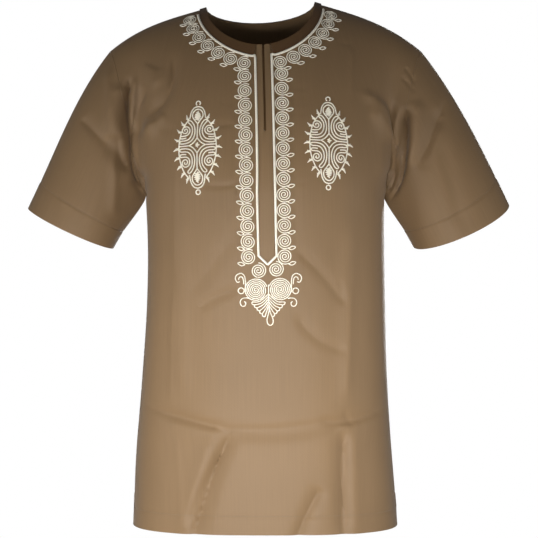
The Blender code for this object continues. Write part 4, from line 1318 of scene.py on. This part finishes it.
class SHIRT_OT_bindings(bpy.types.Operator):
    """Build the three strips round the neck"""

    bl_idname = "shirt.bindings"
    bl_label = "Neckbands"

    def execute(self, context):
        trees = shirt()["trees"]
        half = BAND_WALL / 2
        lift = WALL / 2 + BAND_GAP + half
        start = PLACKET_TOP_SHARE / NECK_SHARE * BAND_START
        for name, face, ends in (
            ("right_neckband", -1, (-1.0, -start)),
            ("left_neckband", -1, (start, 1.0)),
            ("back_neckband", 1, (1.0, -1.0)),
        ):
            points, ahead = neck_run(face, *ends, BAND_STEPS)
            away = away_from_neck(trees, points, ahead)
            widths = band_width(face, np.linspace(*ends, BAND_STEPS + 1))
            across = widths[:, None] * np.linspace(0, 1, BAND_ROWS + 1)
            rows = [
                [laid(trees, point, lift) for point in walk(trees, *way)]
                for way in zip(points, away, across)
            ]
            grid = np.array([[place for place, _ in row] for row in rows]).swapaxes(0, 1)
            normals = np.array([[normal for _, normal in row] for row in rows]).swapaxes(0, 1)
            grid = seam_shift(grid, normals, top=False, bottom=False)
            # The neck strips take the darker satin: painted shade, the same cloth as the body.
            made = cloth_piece(name, grid, normals, "cotton_satin_painted_shade", half, half)
        return {"FINISHED"}


class SHIRT_OT_placket(bpy.types.Operator):
    """Build the strip round the front slit and the strip behind it"""

    bl_idname = "shirt.placket"
    bl_label = "Placket"

    def execute(self, context):
        model = shirt()
        levels, slit_row = model["levels"], model["slit_row"]
        square, tip = low_level(PLACKET_SQUARE_Z), low_level(PLACKET_TIP_Z)
        foot = [(tip + (square - tip) * share, max(TIP_SHARE, share)) for share in TIP_ROWS]
        rows = foot + [(level, 1.0) for level in levels if level > square]
        across = np.linspace(-1, 1, 2 * PLACKET_COLUMNS + 1)
        grid = np.stack([
            body_row(-1, across * width * placket_share(level), level) for level, width in rows
        ])
        normals = surface_normals(PLACKET_SHARE * across, [level for level, _ in rows])
        half = BAND_WALL / 2
        lift = normals * (WALL / 2 + LAP_GAP + half)
        slit = (PLACKET_COLUMNS, [level for level, _ in rows].index(levels[slit_row]))
        made = cloth_piece(
            "placket", grid + lift, normals, "cotton_satin_woven", half, half, slit
        )

        rows = levels[slit_row - UNDERLAP_ROWS : -1]
        across = np.linspace(*UNDERLAP_REACH, UNDERLAP_COLUMNS + 1)
        grid = np.stack([body_row(-1, across * placket_share(level), level) for level in rows])
        normals = surface_normals(PLACKET_SHARE * across, rows)
        lift = normals * (WALL / 2 + LAP_GAP + half)
        # The strip behind the slit takes the darker satin: painted shade for the shadow inside the slit.
        made = cloth_piece(
            "underlap", grid - lift, normals, "cotton_satin_painted_shade", half, half
        )
        return {"FINISHED"}


class SHIRT_OT_cord(bpy.types.Operator):
    """Lay the cream cord round the neckband and the placket"""

    bl_idname = "shirt.cord"
    bl_label = "Neck Cord"

    def execute(self, context):
        model = shirt()
        radius = context.scene.shirt_sizes.cord
        levels = [level for level in model["levels"] if level < CORD_TOP_LEVEL]
        route = evenly(np.array(cord_route(model["trees"], levels)), radius)
        run = (route, [1.0] * len(route))
        made = thread_piece("neck_cord_thread", [run], radius, "rayon_thread_twisted", roundness=3)
        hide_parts("neck_cord")
        return {"FINISHED"}


class SHIRT_OT_discs(bpy.types.Operator):
    """Embroider the chain of discs round the neck and down both sides of the placket"""

    bl_idname = "shirt.discs"
    bl_label = "Embroidered Discs"

    def execute(self, context):
        runs = []
        for side, top_x, top_z, foot_x, foot_z, count, neck_count, first in CHAINS:
            disc = spiral((0.0, 0.0), DISC_RADIUS, DISC_TURNS, radians(-DISC_END * side), side)
            column = [(top_x, top_z), (foot_x, foot_z)]
            spots = [on_front(x, z) for x, z in np.linspace(*column, count)]
            neck = neck_spots(side, first, neck_count)
            loop = smooth_line(LOOP) * [side, 1] - [0, DISC_PITCH / 2]
            for spot in neck + spots:
                runs += [thread_run(spot, disc), thread_run(spot, loop)]
        for x, z in FOOT_DISCS:
            runs.append(thread_run(on_front(x, z), spiral((0.0, 0.0), DISC_RADIUS, DISC_TURNS, pi / 2)))
        thread_piece("disc_embroidery", runs, context.scene.shirt_sizes.thread, "rayon_thread_twisted")
        return {"FINISHED"}


class SHIRT_OT_medallions(bpy.types.Operator):
    """Embroider the two medallions on the chest"""

    bl_idname = "shirt.medallions"
    bl_label = "Medallions"

    def execute(self, context):
        threads, thorns, barbs = medallion_lines()
        radius = context.scene.shirt_sizes.bold_thread
        for name, x, z in MEDALLIONS:
            spot = on_front(x, z)
            runs = [thread_run(spot, line / 1000) for line in threads]
            runs += [thread_run(spot, line / 1000, THORN_WIDTHS) for line in thorns]
            runs += [thread_run(spot, line / 1000, THORN_WIDTHS[1:]) for line in barbs]
            thread_piece(name + "_embroidery", runs, radius, "rayon_thread_twisted")
        return {"FINISHED"}


class SHIRT_OT_palmette(bpy.types.Operator):
    """Embroider the palmette under the placket"""

    bl_idname = "shirt.palmette"
    bl_label = "Palmette"

    def execute(self, context):
        spot = on_front(*PALMETTE)
        runs = [thread_run(spot, line / 1000) for line in palmette_lines()]
        thread_piece("palmette_embroidery", runs, context.scene.shirt_sizes.thread, "rayon_thread_twisted")
        return {"FINISHED"}


class SHIRT_OT_stitching(bpy.types.Operator):
    """Sew the stitch lines of the hems, the vents and the cuffs"""

    bl_idname = "shirt.stitching"
    bl_label = "Hem Stitching"

    def execute(self, context):
        model = shirt()
        sizes = context.scene.shirt_sizes
        lift = WALL / 2 + sizes.stitch / 3
        lines = []
        vent_row = int(np.searchsorted(model["levels"], low_level(VENT_TOP_Z)))
        for face in (0, 1):
            grid = model["grids"][face] + model["normals"][face] * lift
            in_groove = grid - model["normals"][face] * HEM_PULL
            lines.append(in_groove[HEM_ROWS + 1, VENT_COLUMN:-VENT_COLUMN])
            lines.append(grid[HEM_ROWS + 1 : vent_row, VENT_COLUMN])
            lines.append(grid[HEM_ROWS + 1 : vent_row, -1 - VENT_COLUMN])
        for side in (2, 3):
            grid = model["grids"][side] + model["normals"][side] * (lift - HEM_PULL)
            lines.append(grid[-2 - SLEEVE_HEM_ROWS])
        runs = []
        for line in lines:
            fine = evenly(line, sizes.stitch_pitch / STITCH_STEPS)[::STITCH_STEPS]
            for start, after in zip(fine, fine[1:]):
                end = start + (after - start) * STITCH_SHARE
                runs.append(([start, (start + end) / 2, end], STITCH_WIDTHS))
        thread_piece("hem_stitching", runs, sizes.stitch, "polyester_thread_spun")
        return {"FINISHED"}


class SHIRT_OT_stage(bpy.types.Operator):
    """Set the floor, the soft lights and the camera"""

    bl_idname = "shirt.stage"
    bl_label = "Stage"

    def execute(self, context):
        bm = bmesh.new()
        bmesh.ops.create_circle(bm, cap_ends=True, segments=FLOOR_SEGMENTS, radius=FLOOR_RADIUS)
        bmesh.ops.translate(bm, verts=bm.verts, vec=(0, 0, FLOOR_Z))
        mesh = bpy.data.meshes.new("floor")
        bm.to_mesh(mesh)
        bm.free()
        floor = bpy.data.objects.new("floor", mesh)
        mesh.materials.append(material("floor_board_painted"))
        context.scene.collection.objects.link(floor)
        for name, place, size, power, spread, aim in LAMPS:
            data = bpy.data.lights.new(name, "AREA")
            data.shape = "RECTANGLE"
            data.size, data.size_y = size
            data.energy = power
            data.spread = radians(spread)
            lamp = bpy.data.objects.new(name, data)
            lamp.location = place
            lamp.rotation_mode = "QUATERNION"
            lamp.rotation_quaternion = (Vector(aim) - Vector(place)).to_track_quat("-Z", "Y")
            lamp.visible_camera = False
            context.scene.collection.objects.link(lamp)
        world = bpy.data.worlds.new("studio")
        context.scene.world = world
        world.use_nodes = True
        tree = world.node_tree
        tree.nodes.clear()
        rays = add_node(tree, "ShaderNodeLightPath", {})
        fill = add_node(tree, "ShaderNodeBackground", {"Color": WHITE, "Strength": FILL})
        seen = add_node(tree, "ShaderNodeBackground", {"Color": WHITE, "Strength": 1.0})
        both = add_node(
            tree, "ShaderNodeMixShader",
            {0: rays.outputs["Is Camera Ray"], 1: fill.outputs[0], 2: seen.outputs[0]},
        )
        add_node(tree, "ShaderNodeOutputWorld", {"Surface": both.outputs[0]})
        data = bpy.data.cameras.new("camera")
        data.sensor_width = SENSOR
        data.lens = SENSOR * CAMERA_AWAY / FRAME_WIDTH
        camera = bpy.data.objects.new("camera", data)
        camera.location = (CAMERA_X, -CAMERA_AWAY, CAMERA_Z)
        camera.rotation_euler = (pi / 2, 0, 0)
        context.scene.collection.objects.link(camera)
        context.scene.camera = camera
        context.scene.view_settings.view_transform = "Standard"
        return {"FINISHED"}


class SHIRT_PT_sidebar(bpy.types.Panel):
    """Sizes, colours and the steps that build the shirt"""

    bl_label = "Embroidered Shirt"
    bl_space_type = "VIEW_3D"
    bl_region_type = "UI"
    bl_category = "Shirt"

    def draw(self, context):
        for settings in (context.scene.shirt_sizes, context.scene.shirt_finish):
            for name in type(settings).__annotations__:
                self.layout.prop(settings, name)
        for operator in OPERATORS:
            self.layout.operator(operator.bl_idname)


OPERATORS = (
    SHIRT_OT_stage,
    SHIRT_OT_panels,
    SHIRT_OT_sleeves,
    SHIRT_OT_bindings,
    SHIRT_OT_placket,
    SHIRT_OT_cord,
    SHIRT_OT_discs,
    SHIRT_OT_medallions,
    SHIRT_OT_palmette,
    SHIRT_OT_stitching,
)
CLASSES = (ShirtSizes, ShirtFinish, *OPERATORS, SHIRT_PT_sidebar)


def register():
    """Adds the settings, the steps and the sidebar to Blender."""
    for added in CLASSES:
        bpy.utils.register_class(added)
    bpy.types.Scene.shirt_sizes = PointerProperty(type=ShirtSizes)
    bpy.types.Scene.shirt_finish = PointerProperty(type=ShirtFinish)


def unregister():
    """Takes them out again."""
    del bpy.types.Scene.shirt_finish
    del bpy.types.Scene.shirt_sizes
    for added in reversed(CLASSES):
        bpy.utils.unregister_class(added)


def main():
    """Builds every piece."""
    register()
    for operator in OPERATORS:
        group, name = operator.bl_idname.split(".")
        getattr(getattr(bpy.ops, group), name)()


if __name__ == "__main__":
    main()
